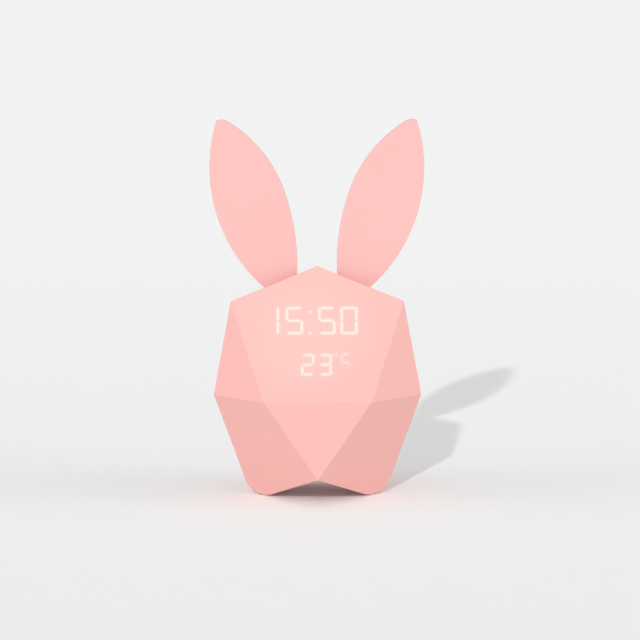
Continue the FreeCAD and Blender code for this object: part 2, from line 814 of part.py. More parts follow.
timeRow = size("time_row")
nearDigit = size("colon_to_digit")
colonX = -size("colon_x")
timeXs = [colonX - nearDigit - size("digit_pitch"), colonX - nearDigit]
timeXs += [colonX + nearDigit, colonX + nearDigit + size("digit_pitch")]
timeBars = []
for x in timeXs:
    timeBars += digitBars(x, timeRow, size("digit_width"), size("digit_height"))
colonBars = [square(colonX, timeRow + rise) for rise in (-size("colon_below"), size("colon_above"))]
smallXs = [side * size("small_digit_pitch") / 2 - size("small_digit_shift") for side in (-1, 1)]
smallBars = []
for x in smallXs:
    smallBars += digitBars(x, size("degree_row"), size("small_digit_width"), size("small_digit_height"))
unitX = size("unit_x")
unitRise = (size("unit_height") - size("segment_width")) / 2
unitLength = size("unit_width") - size("segment_width") / 2
unitBars = [square(size("degree_dot_x"), size("degree_dot_row"))]
unitBars += [bar(unitX + size("segment_width") / 2, size("unit_row") + rise, unitLength, False)
             for rise in (-unitRise, unitRise)]
unitBars.append(bar(unitX - size("unit_width") / 2, size("unit_row"), 2 * unitRise, True))


def prism(points, low, high, grow=0.0):
    wire = Part.makePolygon([Vector(x, y, low) for x, y in points + points[:1]])
    face = Part.Face(wire)
    if grow:
        face = face.makeOffset2D(grow, 2)
    return face.extrude(Vector(0, 0, high - low))


margin = size("mask_margin")
maskHalf = windowMiddle - margin
mask = Part.makeBox(
    2 * maskHalf,
    windowRows[1] - windowRows[0] - 2 * margin,
    size("mask_thickness"),
    Vector(-maskHalf, windowRows[0] + margin, maskBack),
)
cavities = [prism(points, maskBack, maskFront) for points in timeBars + colonBars + smallBars + unitBars]
solidPiece("display_mask", mask.cut(Part.Compound(cavities)), frontFrame)
for name, bars in (
    ("time_digits", timeBars),
    ("colon_dots", colonBars),
    ("temperature_digits", smallBars),
    ("degree_sign", unitBars),
):
    guides = [prism(points, maskBack, maskFront, -size("segment_gap")) for points in bars]
    solidPiece(name, Part.Compound(guides), frontFrame)

boardBack = "-window_skin - mask_gap - mask_thickness - board_thickness"
rowMiddle = "(window_low + window_high) / 2"
postMiddle = "(display_post_low + display_post_high) / 2"
postSpan = "display_post_high - display_post_low + 2 * display_post"
carrier = block("display_carrier", "2 * display_post_x + display_post", postSpan, "board_thickness",
                y=postMiddle, z=boardBack)
fieldWidth = "window_width - 2 * mask_margin"
fieldHeight = "window_high - window_low - 4 * mask_margin"
field = block("display_field", fieldWidth, fieldHeight, "board_thickness", y=rowMiddle, z=boardBack)
whole = joined("display_blank", carrier, field)
holes = []
for x in ("-display_post_x", "display_post_x"):
    for row in ("display_post_low", "display_post_high"):
        name = f"display_hole_{len(holes)}"
        holes.append(peg(name, "screw_diameter + hole_play", "board_thickness", x, row, boardBack))
keep("display_board", without("display_board", whole, *holes), frontFrame)


# The head is under the seat, and the shank goes up from the seat to the point
def screw(name, x, y, seat, point):
    stem = peg(name + "_shank", "screw_diameter", f"({point}) - ({seat})", x, y, seat)
    cap = peg(name + "_head", "screw_head", "screw_head_height", x, y, f"{seat} - screw_head_height")
    return joined(name, stem, cap)


screws = []
for x in ("-display_post_x", "display_post_x"):
    for row in ("display_post_low", "display_post_high"):
        screws.append(screw(f"display_screw_{len(screws)}", x, row, boardBack,
                            "-window_skin - 2 * mask_gap"))
keep("display_screws", grouped("display_screws", *screws), frontFrame)

# The control panel, its buttons and the main board behind it

buttons = {
    "alarm_button": ("-upper_button_x", "upper_button_row"),
    "light_button": ("upper_button_x", "upper_button_row"),
    "minus_button": ("-button_pitch", "button_row"),
    "set_button": ("0", "button_row"),
    "plus_button": ("button_pitch", "button_row"),
}
pitch = size("button_pitch")
upperX = size("upper_button_x")
buttonSpots = [(x, size("upper_button_row")) for x in (-upperX, upperX)]
buttonSpots += [(x, size("button_row")) for x in (-pitch, 0, pitch)]
buttonHole = size("button_diameter") + 2 * size("button_gap")
panel = padded("panel_plate", "XY_Plane", [roundedRectangle(panelWidth, panelHeight, size("panel_corner"))],
               "panel_thickness", reverse=True)
openings = [circle(buttonHole, x, y) for x, y in buttonSpots]
portRow = size("port_row")
portHole = size("port_height") + size("port_play")
portCorner = (portHole - size("port_flat")) / 2
openings.append(roundedRectangle(size("port_width") + size("port_play"), portHole, portCorner, 0, portRow))
slotWidth = size("knob_width") + size("knob_travel") + size("knob_play")
slotHeight = size("knob_height") + size("knob_play")
openings.append(roundedRectangle(slotWidth, slotHeight, size("knob_play"), size("knob_x"), portRow))
openings.append(circle(size("reset_hole"), size("reset_x"), portRow))
openings += [ringOutline(passing, x, 0) for x in (-panelScrewX, panelScrewX)]
pocketed(panel, "panel_openings", "XY_Plane", openings)
boardTop = "-panel_thickness - board_drop"
boardLow = boardTop + " - board_thickness"
posts = []
for x in ("-post_x", "post_x"):
    for y in ("-post_y", "post_y"):
        number = len(posts)
        post = peg(f"panel_post_{number}", "post_diameter", "board_drop", x, y, boardTop)
        holeName = f"panel_post_hole_{number}"
        hole = peg(holeName, "screw_diameter + pilot_play", "board_drop - post_floor", x, y, boardTop)
        posts.append(without(f"panel_post_bored_{number}", post, hole))
keep("rear_panel", joined("rear_panel", panel, *posts), panelFrame)

blank = block("main_board_blank", "main_board_width", "main_board_height", "board_thickness", z=boardLow)
holes = []
for x in ("-post_x", "post_x"):
    for y in ("-post_y", "post_y"):
        name = f"main_board_hole_{len(holes)}"
        holes.append(peg(name, "screw_diameter + hole_play", "board_thickness", x, y, boardLow))
keep("main_board", without("main_board", blank, *holes), panelFrame)
screws = []
for x in ("-post_x", "post_x"):
    for y in ("-post_y", "post_y"):
        screws.append(screw(f"main_screw_{len(screws)}", x, y, boardLow, boardLow + " + screw_length"))
keep("board_screws", grouped("board_screws", *screws), panelFrame)

flangeTop = "-panel_thickness - button_gap / 2"
flangeLow = flangeTop + " - flange_thickness"
plungerTop = boardTop + " + switch_height + stem_rest"
plungerLow = boardTop + " + switch_height - plunger_drop"
switches = []
for name, (x, y) in buttons.items():
    cap = rod(name + "_cap", "button_diameter", f"button_proud - ({flangeTop})", x, y, flangeTop)
    flange = peg(name + "_flange", "flange_diameter", "flange_thickness", x, y, flangeLow)
    stem = peg(name + "_stem", "stem_diameter", f"{flangeLow} - ({plungerTop})", x, y, plungerTop)
    keep(name, joined(name, cap, flange, stem), panelFrame)
    plungerName = name.replace("button", "plunger")
    plunger = peg(plungerName + "_rod", "stem_diameter", f"{plungerTop} - ({plungerLow})", x, y, plungerLow)
    keep(plungerName, grouped(plungerName, plunger), panelFrame)
    body = block(name + "_switch_case", "switch_side", "switch_side", "switch_height", x, y, boardTop)
    bore = peg(name + "_switch_bore", "stem_diameter + hole_play", "switch_height", x, y,
               f"{plungerLow} - button_travel - button_gap")
    switches.append(without(name + "_switch", body, bore))
keep("tact_switches", grouped("tact_switches", *switches), panelFrame)

portHeight = "panel_thickness + board_drop - port_sunk"
portWidth = size("port_width")
portRise = size("port_height")
portWall = size("port_wall")
portRound = (portRise - size("port_flat")) / 2
portInside = portWidth - 2 * portWall, portRise - 2 * portWall, portRound - portWall
can = padded("port_can", "XY_Plane", [
    roundedRectangle(portWidth, portRise, portRound, 0, portRow),
    roundedRectangle(*portInside, 0, portRow),
], portHeight)
can.setExpression("Placement.Base.z", cells(boardTop))
baseWidth = "port_width - port_height"
base = block("port_base", baseWidth, "port_height - port_wall", "port_floor", "0", "port_row", boardTop)
tongueWidth = "port_width - 8 * port_wall"
tongueHeight = portHeight + " - port_floor"
tongue = block("port_tongue", tongueWidth, "2 * port_wall", tongueHeight, "0", "port_row", boardTop)
keep("charging_port", joined("charging_port", can, base, tongue), panelFrame)

knobRest = "knob_x - knob_travel / 2"
knobTall = f"knob_proud - ({flangeTop})"
knob = block("knob_cap", "knob_width", "knob_height", knobTall, knobRest, "port_row", flangeTop)
skirtWidth = "knob_width + 2 * knob_travel + 2 * knob_play"
skirtHeight = "knob_height + 2 * flange_thickness"
skirt = block("knob_skirt", skirtWidth, skirtHeight, "flange_thickness", knobRest, "port_row", flangeLow)
forkLow = boardTop + " + switch_height - fork_depth"
forkTall = f"{flangeLow} - ({forkLow})"
fork = block("knob_fork", "knob_width / 2", "knob_height / 2", forkTall, knobRest, "port_row", forkLow)
keep("alarm_slider", joined("alarm_slider", knob, skirt, fork), panelFrame)
caseSize = "slide_switch_width", "slide_switch_height", "switch_height"
case = block("slide_case", *caseSize, "knob_x", "port_row", boardTop)
track = block("slide_track", "knob_width / 2 + knob_travel + knob_play", "knob_height / 2 + knob_play",
              "switch_height", "knob_x", "port_row", forkLow + " - hole_play")
keep("slide_switch", without("slide_switch", case, track), panelFrame)
resetSize = "switch_side / 2", "switch_side / 2", "switch_height / 2"
reset = block("reset_case", *resetSize, "reset_x", "port_row", boardTop)
keep("reset_switch", grouped("reset_switch", reset), panelFrame)
chipLow = boardLow + " - chip_thickness"
chips = [
    block("processor", "processor_side", "processor_side", "chip_thickness", "0", "processor_y", chipLow),
    block("charger_chip", "chip_width", "chip_height", "chip_thickness", "chip_x", "-chip_y", chipLow),
    block("sound_chip", "chip_width", "chip_height", "chip_thickness", "-chip_x", "-chip_y", chipLow),
]
keep("board_chips", grouped("board_chips", *chips), panelFrame)
screws = []
for x in ("-(panel_width - ledge_side) / 2", "(panel_width - ledge_side) / 2"):
    stem = peg(f"panel_shank_{len(screws)}", "screw_diameter", "panel_thickness + ledge_thickness", x, "0",
               "-panel_thickness - ledge_thickness")
    cap = peg(f"panel_head_{len(screws)}", "screw_head", "screw_head_height / 2", x, "0", "0")
    screws.append(joined(f"panel_screw_{len(screws)}", stem, cap))
keep("panel_screws", grouped("panel_screws", *screws), panelFrame)

# The speaker

speakerTop = -wall - size("speaker_gap")
frameLow = speakerTop - size("speaker_depth") + size("cone_seat")
bowlLow = frameLow + size("cone_seat")
bowlWide = size("speaker_diameter") - 2 * size("cone_seat")
bowlNarrow = size("magnet_diameter") - 2 * size("cone_seat")
rim = pegIn(level, size("speaker_diameter"), 0, 0, (frameLow, speakerTop), "speaker_sides")
solidPiece("speaker_frame", rim.cut(frustum(bowlNarrow, bowlWide, bowlLow, speakerTop)), speakerFrame)
play = 2 * size("speaker_play")
rimWide = 2 * size("cone_lip")
paper = frustum(bowlNarrow - play, bowlWide - play, bowlLow, speakerTop)
hollowLow = bowlLow + size("cone_skin")
hollow = frustum(bowlNarrow - play - 2 * size("cone_rim"), bowlWide - play - rimWide, hollowLow, speakerTop)
solidPiece("speaker_cone", paper.cut(hollow), speakerFrame)
magnetZs = (frameLow - size("magnet_depth"), frameLow)
magnet = pegIn(level, size("magnet_diameter"), 0, 0, magnetZs, "speaker_sides")
solidPiece("speaker_magnet", magnet, speakerFrame)

# The rechargeable cell in its tray

trayFrame = FreeCAD.Placement(Vector(0, 0, trayLevel), unturned)
trayWidth = "cell_width + 2 * cell_gap + 2 * tray_wall"
trayDepth = "cell_depth + 2 * cell_gap + 2 * tray_wall"
trayBlank = block("tray_blank", trayWidth, trayDepth, "tray_wall + tray_rise")
trayTabs = block("tray_tabs", f"{2 * footX + bossWidth}", "2 * screw_head", "tray_wall")
trayWell = block("tray_well", "cell_width + 2 * cell_gap", "cell_depth + 2 * cell_gap", "tray_rise + wall",
                 z="tray_wall")
holes = []
for x in (-footX, footX):
    holes.append(peg(f"tray_hole_{len(holes)}", "screw_diameter + hole_play", "tray_wall", x))
tray = without("battery_tray", joined("tray_whole", trayBlank, trayTabs), trayWell, *holes)
keep("battery_tray", tray, trayFrame)
tapeWidth = "cell_width - 2 * tape_margin"
tapeSheet = block("tape_sheet", tapeWidth, "cell_depth - 2 * tape_margin", "tape_thickness", z="tray_wall")
keep("battery_tape", grouped("battery_tape", tapeSheet), trayFrame)
cellRound = (size("cell_height") - size("cell_flat")) / 2
cellMiddle = trayLevel + size("tray_wall") + size("tape_thickness") + size("cell_height") / 2
cellFrame = FreeCAD.Placement(Vector(0, 0, cellMiddle), unturned)
cellOutline = roundedRectangle(size("cell_depth"), size("cell_height"), cellRound)
cell = padded("battery_cell", "YZ_Plane", [cellOutline], "cell_width")
cell.Tip.Midplane = True
keep("battery_cell", cell, cellFrame)


def screwDown(name, places, seat, frame):
    group = []
    for x in places:
        number = len(group)
        low = f"{seat} - screw_length"
        stem = peg(f"{name}_shank_{number}", "screw_diameter", "screw_length", x, "0", low)
        cap = peg(f"{name}_head_{number}", "screw_head", "screw_head_height", x, "0", seat)
        group.append(joined(f"{name}_{number}", stem, cap))
    keep(name, grouped(name, *group), frame)


screwDown("tray_screws", (-footX, footX), "tray_wall", trayFrame)

# The night light: a row of lamps on a board across the middle, under the translucent shell

lampBoardLow = "equator_height - lamp_board_drop"
lampBoardTop = lampBoardLow + " + board_thickness"
boardSize = "lamp_board_width", "lamp_board_depth", "board_thickness"
lampBoard = block("lamp_board_blank", *boardSize, z=lampBoardLow)
holes = []
for x in ("-lamp_post_x", "lamp_post_x"):
    name = f"lamp_hole_{len(holes)}"
    holes.append(peg(name, "screw_diameter + hole_play", "board_thickness", x, "0", lampBoardLow))
keep("night_light_board", without("night_light_board", lampBoard, *holes))
lampSize = "lamp_side", "lamp_side", "lamp_height"
lamps = []
for number in range(-2, 3):
    lamps.append(block(f"lamp_{len(lamps)}", *lampSize, f"{number} * lamp_pitch", "0", lampBoardTop))
keep("night_light_lamps", grouped("night_light_lamps", *lamps))
screwDown("night_light_screws", ("-lamp_post_x", "lamp_post_x"), lampBoardTop, level)

# The leads: a flat ribbon from the display, and pairs from the cell, the speaker and the lamps


def lead(name, corners, width, thickness):
    along = (corners[1] - corners[0]).normalize()
    across = Vector(0, 1, 0) if abs(along.x) > abs(along.z) else Vector(1, 0, 0)
    rise = along.cross(across)
    profile = []
    for sx, sy in ((1, 1), (-1, 1), (-1, -1), (1, -1), (1, 1)):
        profile.append(corners[0] + across * (sx * width / 2) + rise * (sy * thickness / 2))
    path = Part.makePolygon(corners)
    solidPiece(name, path.makePipeShell([Part.makePolygon(profile)], True, False, 1))


boardInside = -size("panel_thickness") - size("board_drop") - size("board_thickness")
stand = size("lead_stand")


def onMainBoard(x, y, away):
    return panelFrame.multVec(Vector(x, y, boardInside - away))


displayInside = maskBack - size("board_thickness")
ribbonRow = size("ribbon_row")
lead("display_ribbon", [
    frontFrame.multVec(Vector(0, ribbonRow, displayInside)),
    frontFrame.multVec(Vector(0, ribbonRow, displayInside - stand)),
    onMainBoard(0, size("ribbon_y"), stand),
    onMainBoard(0, size("ribbon_y"), 0),
], size("ribbon_width"), size("ribbon_thickness"))
leadSize = size("lead_width"), size("lead_thickness")
cellTop = cellMiddle + size("cell_height") / 2
cellSide = size("cell_width") / 2
leadOut = cellSide + size("battery_lead_out")
leadStart = cellTop - size("battery_lead_drop")
batteryX = -size("battery_lead_x")
lead("battery_lead", [
    Vector(cellSide, 0, leadStart),
    Vector(leadOut, 0, leadStart),
    Vector(leadOut, size("battery_lead_back"), leadStart + size("battery_lead_rise")),
    onMainBoard(batteryX, -size("lead_y"), stand),
    onMainBoard(batteryX, -size("lead_y"), 0),
], *leadSize)
speakerStand = frameLow - size("speaker_lead_stand")
speakerUp = size("speaker_lead_up")
lead("speaker_lead", [
    speakerFrame.multVec(Vector(0, speakerUp, frameLow)),
    speakerFrame.multVec(Vector(0, speakerUp, speakerStand)),
    onMainBoard(0, -size("speaker_lead_y"), size("speaker_lead_stand")),
    onMainBoard(0, -size("speaker_lead_y"), 0),
], *leadSize)
lampTop = lampLevel + size("board_thickness")
lampSpot = Vector(-size("lamp_lead_x"), size("lamp_lead_y"), lampTop)
lead("lamp_lead", [
    lampSpot,
    lampSpot + Vector(0, 0, stand),
    onMainBoard(size("lamp_lead_x"), -size("lead_y"), stand),
    onMainBoard(size("lamp_lead_x"), -size("lead_y"), 0),
], *leadSize)

# The screws of the ears and of the case

screws = []
for number, (x, z) in enumerate(earScrews):
    tabFace = -size("ear_thickness")
    stem = peg(f"ear_shank_{number}", "screw_diameter", "ear_thickness + ear_rib", "0", "0", "0")
    cap = peg(f"ear_head_{number}", "screw_head", "screw_head_height", "0", "0", "-screw_head_height")
    one = joined(f"ear_screw_{number}", stem, cap)
    one.Placement = FreeCAD.Placement(Vector(x, tabFace, z), FreeCAD.Rotation(Vector(1, 0, 0), -90))
    screws.append(one)
keep("ear_screws", grouped("ear_screws", *screws))
screws = []
for x, y in caseScrews:
    number = len(screws)
    seatLevel = "equator_height - case_screw_seat"
    stem = peg(f"case_shank_{number}", "case_screw_diameter", "case_screw_length", x, y, seatLevel)
    cap = peg(f"case_head_{number}", "case_screw_head", "2 * screw_head_height", x, y,
              seatLevel + " - 2 * screw_head_height")
    screws.append(joined(f"case_screw_{number}", stem, cap))
keep("case_screws", grouped("case_screws", *screws))

doc.recompute()
for item in doc.Objects:
    if "Invalid" in item.State or "Error" in item.State:
        raise RuntimeError(item.Name + " is " + str(item.State))
for item in pieces:
    if item.Shape.isNull() or not item.Shape.isValid():
        raise RuntimeError(item.Label + " has no valid shape")
for item in pieces:
    item.Shape.exportStep("parts/" + item.Label + ".step")
    print(item.Label, len(item.Shape.Solids), "solids")
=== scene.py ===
# Faceted kids alarm clock with leaf ears: the finish, the light and the camera
import json
import math

import bmesh
import bpy
import numpy as np
from mathutils import Matrix, Vector


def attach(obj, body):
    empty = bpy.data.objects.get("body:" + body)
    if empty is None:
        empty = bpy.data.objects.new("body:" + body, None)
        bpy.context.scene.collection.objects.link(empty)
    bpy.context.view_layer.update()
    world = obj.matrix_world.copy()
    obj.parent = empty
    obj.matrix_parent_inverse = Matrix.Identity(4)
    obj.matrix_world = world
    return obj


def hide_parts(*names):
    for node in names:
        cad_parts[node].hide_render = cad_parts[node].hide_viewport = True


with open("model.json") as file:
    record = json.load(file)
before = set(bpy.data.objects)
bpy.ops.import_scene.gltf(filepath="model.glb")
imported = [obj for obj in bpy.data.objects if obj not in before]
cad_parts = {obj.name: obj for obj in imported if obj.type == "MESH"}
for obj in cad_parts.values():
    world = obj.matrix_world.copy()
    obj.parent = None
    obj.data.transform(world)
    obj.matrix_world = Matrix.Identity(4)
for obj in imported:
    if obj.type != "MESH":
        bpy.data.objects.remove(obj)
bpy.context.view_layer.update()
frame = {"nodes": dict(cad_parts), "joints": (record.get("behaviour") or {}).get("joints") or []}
nodes = frame["nodes"]
scene = bpy.context.scene
print("frame loaded:", len(nodes), "nodes")


# A mesh, lamp or camera as an object of the scene
def placed(name, data):
    holder = bpy.data.objects.new(name, data)
    scene.collection.objects.link(holder)
    return holder


# A wire leaves a node's socket and takes part in ordinary arithmetic
class Wire:
    def __init__(self, tree, socket):
        self.tree = tree
        self.socket = socket

    def math(self, operation, first, second=0.0):
        return self.tree.node("ShaderNodeMath", {"operation": operation}, {0: first, 1: second})

    def __add__(self, other):
        return self.math("ADD", self, other)

    def __sub__(self, other):
        return self.math("SUBTRACT", self, other)

    def __rsub__(self, other):
        return self.math("SUBTRACT", other, self)

    def __mul__(self, other):
        return self.math("MULTIPLY", self, other)

    def __truediv__(self, other):
        return self.math("DIVIDE", self, other)

    def clamped(self):
        return self.math("MAXIMUM", self.math("MINIMUM", self, 1.0), 0.0)

    def power(self, other):
        return self.math("POWER", self, other)

    def size(self):
        return self.math("ABSOLUTE", self)

    __radd__ = __add__


# A node tree in the making: settings first, then the values or wires of the sockets
class Tree:
    def __init__(self, made):
        self.made = made

    def node(self, kind, settings, inputs, output=0):
        box = self.made.nodes.new(kind)
        for name, setting in settings.items():
            setattr(box, name, setting)
        for name, given in inputs.items():
            if isinstance(given, Wire):
                self.made.links.new(given.socket, box.inputs[name])
            elif isinstance(given, list):
                for one in given:
                    self.made.links.new(one.socket, box.inputs[name])
            else:
                box.inputs[name].default_value = given
        return Wire(self, box.outputs[output]) if box.outputs else None

    def place(self):
        return self.node("ShaderNodeTexCoord", {}, {}, "Object")

    def noise(self, where, scale, detail=2.0, roughness=0.5):
        sizes = {"Vector": where, "Scale": scale, "Detail": detail, "Roughness": roughness}
        return self.node("ShaderNodeTexNoise", {}, sizes)

    def blendColours(self, factor, first, second):
        inputs = {"Factor": factor, 6: first, 7: second}
        return self.node("ShaderNodeMix", {"data_type": "RGBA"}, inputs, 2)


def colour(red, green, blue):
    return (red, green, blue, 1.0)


def surface(name, sockets):
    material = bpy.data.materials.new(name)
    material.use_nodes = True
    tree = Tree(material.node_tree)
    material.node_tree.nodes.clear()
    shader = tree.node("ShaderNodeBsdfPrincipled", {}, sockets(tree), "BSDF")
    tree.node("ShaderNodeOutputMaterial", {}, {"Surface": shader})
    return material


# Moulded plastic: a fine spark-eroded grain and a slow drift of tone, as pigment gives
def mouldedPlastic(name, look):
    def sockets(tree):
        place = tree.place()
        drift = tree.noise(place, look["driftScale"], look["driftDetail"])
        grain = tree.noise(place, look["grainScale"], roughness=look["grainBreak"])
        tone = tree.blendColours(drift, colour(*look["deep"]), colour(*look["pale"]))
        bump = tree.node("ShaderNodeBump", {}, {
            "Strength": look["grainStrength"],
            "Distance": look["grainDepth"],
            "Height": grain,
        })
        made = {
            "Base Color": tone,
            "Roughness": look["roughness"] + (grain - 0.5) * look["roughnessSpread"],
            "Normal": bump,
            "Specular IOR Level": look["gloss"],
        }
        # Painted light: an emission that whitens the front facet of the shell
        if "glow" in look:
            made["Emission Color"] = paintedFacetGlow(tree, place, look["glow"])
            made["Emission Strength"] = 1.0
        return made
    return surface(name, sockets)


# Painted glow: an emission whitens the front facet, most round the display's middle and less
# towards the facet's edges. It is partly the display's light in the wall and partly painted sheen
# and lamp light that the upward-tilted facet catches
def paintedFacetGlow(tree, place, glow):
    def along(direction, origin):
        offset = tree.node("ShaderNodeVectorMath", {"operation": "SUBTRACT"}, {0: place, 1: origin})
        return tree.node("ShaderNodeVectorMath", {"operation": "DOT_PRODUCT"},
                         {0: offset, 1: direction}, "Value")

    depth = along(glow["normal"], glow["origin"])
    onFacet = (1.0 + depth / glow["edge"]).clamped()
    across = (along(glow["across"], glow["centre"]) / glow["width"]).power(2.0)
    upward = (along(glow["upward"], glow["centre"]) / glow["height"]).power(2.0)
    fade = 1.0 - (across + upward).clamped() * glow["fall"]
    return tree.blendColours(onFacet * fade, colour(0.0, 0.0, 0.0), colour(*glow["colour"]))


# The front facet: the middle of its lower edge, the way the display's rows run up, and outwards
facet = {"lowEdge": (0.0, -0.0427, 0.0553), "rise": (0.0, 0.0318, 0.0683)}
facetOrigin = Vector(facet["lowEdge"])
facetUp = Vector(facet["rise"]).normalized()
facetOut = Vector((0.0, -facetUp.z, facetUp.y))

shellLook = {
    "deep": (0.760, 0.388, 0.360),
    "pale": (0.777, 0.405, 0.375),
    "driftScale": 26.0,
    "driftDetail": 3.0,
    "grainScale": 2600.0,
    "grainBreak": 0.6,
    "grainStrength": 0.16,
    "grainDepth": 0.00006,
    "roughness": 0.52,
    "roughnessSpread": 0.12,
    "gloss": 0.35,
}
# Where the painted glow on the front facet lies, how it fades, and its colour
paintedFrontGlow = {
    "normal": facetOut,
    "origin": facetOrigin,
    "edge": 0.0006,
    "across": Vector((1.0, 0.0, 0.0)),
    "upward": facetUp,
    "centre": facetOrigin + facetUp * 0.042 + Vector((-0.006, 0.0, 0.0)),
    "width": 0.040,
    "height": 0.040,
    "fall": 0.5,
    "colour": (0.060, 0.085, 0.075),
}


# A plastic, rubber, foam or paper that differs from the shell's plastic in a few values
def likeShell(name, deep, pale, **changes):
    return mouldedPlastic(name, dict(shellLook, deep=deep, pale=pale, **changes))


# The upper shell's plastic carries the painted glow on its front facet
shellPlastic = mouldedPlastic("shellPlastic", dict(shellLook, glow=paintedFrontGlow))
lowerPlastic = mouldedPlastic("lowerPlastic", shellLook)
# Painted light: the ears are a paler pink than the shell, and the paleness stands in for light that
# comes through the thin plates
earPlastic = likeShell("earPlastic", (0.782, 0.427, 0.405), (0.799, 0.445, 0.422), driftScale=18.0)
panelPlastic = likeShell(
    "panelPlastic", (0.748, 0.378, 0.351), (0.760, 0.391, 0.363), grainScale=1800.0)
markPlastic = likeShell("markPlastic", (0.96, 0.86, 0.83), (0.98, 0.90, 0.87), roughness=0.45)
buttonPlastic = likeShell(
    "buttonPlastic", (0.756, 0.370, 0.340), (0.773, 0.386, 0.357), roughness=0.42)
blackPlastic = likeShell(
    "blackPlastic", (0.016, 0.016, 0.017), (0.030, 0.030, 0.031), roughness=0.48)
padRubber = likeShell(
    "padRubber", (0.30, 0.29, 0.29), (0.38, 0.37, 0.36),
    grainScale=900.0, grainStrength=0.6, roughness=0.86, gloss=0.2)
foamTape = likeShell(
    "foamTape", (0.52, 0.50, 0.46), (0.68, 0.66, 0.62),
    grainScale=1400.0, driftScale=900.0, grainStrength=0.8, roughness=0.95, gloss=0.1)
conePaper = likeShell(
    "conePaper", (0.020, 0.019, 0.018), (0.060, 0.057, 0.053),
    grainScale=1600.0, driftScale=420.0, grainStrength=0.7, roughness=0.92, gloss=0.15)
litPlastic = likeShell("litPlastic", (0.90, 0.86, 0.78), (0.95, 0.92, 0.85), roughness=0.35)
leadSleeve = likeShell("leadSleeve", (0.60, 0.58, 0.55), (0.70, 0.68, 0.65), roughness=0.55)
ribbonFilm = likeShell(
    "ribbonFilm", (0.55, 0.50, 0.40), (0.72, 0.68, 0.58), driftScale=300.0, roughness=0.3)

metal = {"streakDetail": 3.0, "streakBreak": 0.65, "bumpStrength": 0.15, "bumpDepth": 0.00002,
         "roughnessSpread": 0.25}


# Turned or stamped metal: streaks move the roughness and the tone
def brushedMetal(name, look):
    def sockets(tree):
        place = tree.place()
        stretched = tree.node("ShaderNodeVectorMath", {"operation": "MULTIPLY"},
                              {0: place, 1: look["stretch"]})
        streaks = tree.noise(
            stretched, look["streakScale"], metal["streakDetail"], metal["streakBreak"])
        bump = tree.node("ShaderNodeBump", {}, {
            "Strength": metal["bumpStrength"], "Distance": metal["bumpDepth"], "Height": streaks})
        return {
            "Base Color": tree.blendColours(streaks, colour(*look["deep"]), colour(*look["pale"])),
            "Metallic": 1.0,
            "Roughness": look["roughness"] + (streaks - 0.5) * metal["roughnessSpread"],
            "Normal": bump,
        }
    return surface(name, sockets)


screwSteel = brushedMetal("screwSteel", {
    "deep": (0.42, 0.41, 0.40), "pale": (0.62, 0.61, 0.60),
    "stretch": (1.0, 1.0, 6.0), "streakScale": 1500.0, "roughness": 0.34,
})
canSteel = brushedMetal("canSteel", {
    "deep": (0.50, 0.50, 0.50), "pale": (0.70, 0.69, 0.68),
    "stretch": (1.0, 5.0, 5.0), "streakScale": 900.0, "roughness": 0.30,
})
contactGold = brushedMetal("contactGold", {
    "deep": (0.75, 0.52, 0.22), "pale": (0.92, 0.68, 0.32),
    "stretch": (1.0, 3.0, 3.0), "streakScale": 1200.0, "roughness": 0.28,
})
cellFoil = brushedMetal("cellFoil", {
    "deep": (0.55, 0.56, 0.58), "pale": (0.74, 0.75, 0.76),
    "stretch": (1.0, 1.0, 1.0), "streakScale": 320.0, "roughness": 0.42,
})


# Circuit board: pale lines of a cell pattern stand for the tracks under a dark lacquer
def circuitBoard(name, look):
    def sockets(tree):
        pattern = {"feature": "DISTANCE_TO_EDGE", "distance": "CHEBYCHEV"}
        tracks = tree.node("ShaderNodeTexVoronoi", pattern,
                           {"Vector": tree.place(), "Scale": look["trackScale"]}, "Distance")
        line = (tracks * look["trackSharpness"]).clamped()
        bump = tree.node("ShaderNodeBump", {}, {
            "Strength": look["bumpStrength"], "Distance": look["bumpDepth"], "Height": 1.0 - line})
        return {
            "Base Color": tree.blendColours(line, colour(*look["track"]), colour(*look["lacquer"])),
            "Roughness": look["roughness"] + line * look["roughnessSpread"],
            "Normal": bump,
            "Specular IOR Level": look["gloss"],
        }
    return surface(name, sockets)


boardLacquer = circuitBoard("boardLacquer", {
    "track": (0.06, 0.26, 0.10), "lacquer": (0.015, 0.13, 0.05),
    "trackScale": 420.0, "trackSharpness": 9.0, "bumpStrength": 0.3, "bumpDepth": 0.00003,
    "roughness": 0.35, "roughnessSpread": 0.1, "gloss": 0.5,
})

wears = {
    shellPlastic: ["upper_shell"],
    lowerPlastic: ["lower_shell"],
    earPlastic: ["left_ear", "right_ear"],
    panelPlastic: ["rear_panel"],
    buttonPlastic: ["alarm_button", "light_button", "minus_button", "set_button", "plus_button",
                    "alarm_slider"],
    blackPlastic: ["display_mask", "battery_tray", "speaker_frame", "board_chips", "slide_switch",
                   "tact_switches", "reset_switch", "alarm_plunger", "light_plunger",
                   "minus_plunger", "set_plunger", "plus_plunger"],
    padRubber: ["foot_pads"],
    foamTape: ["battery_tape"],
    conePaper: ["speaker_cone"],
    litPlastic: ["time_digits", "colon_dots", "temperature_digits", "degree_sign",
                 "night_light_lamps"],
    boardLacquer: ["display_board", "main_board", "night_light_board"],
    canSteel: ["charging_port", "speaker_magnet"],
    screwSteel: ["display_screws", "board_screws", "panel_screws", "tray_screws",
                 "night_light_screws", "ear_screws", "case_screws"],
    cellFoil: ["battery_cell"],
    leadSleeve: ["battery_lead", "speaker_lead", "lamp_lead"],
    ribbonFilm: ["display_ribbon"],
}
for material, names in wears.items():
    for name in names:
        mesh = nodes[name].data
        if not mesh.materials:
            mesh.materials.append(material)
        for place in range(len(mesh.materials)):
            mesh.materials[place] = material
bare = sorted(set(nodes) - {name for names in wears.values() for name in names})
print("materials assigned; nodes without one:", bare)


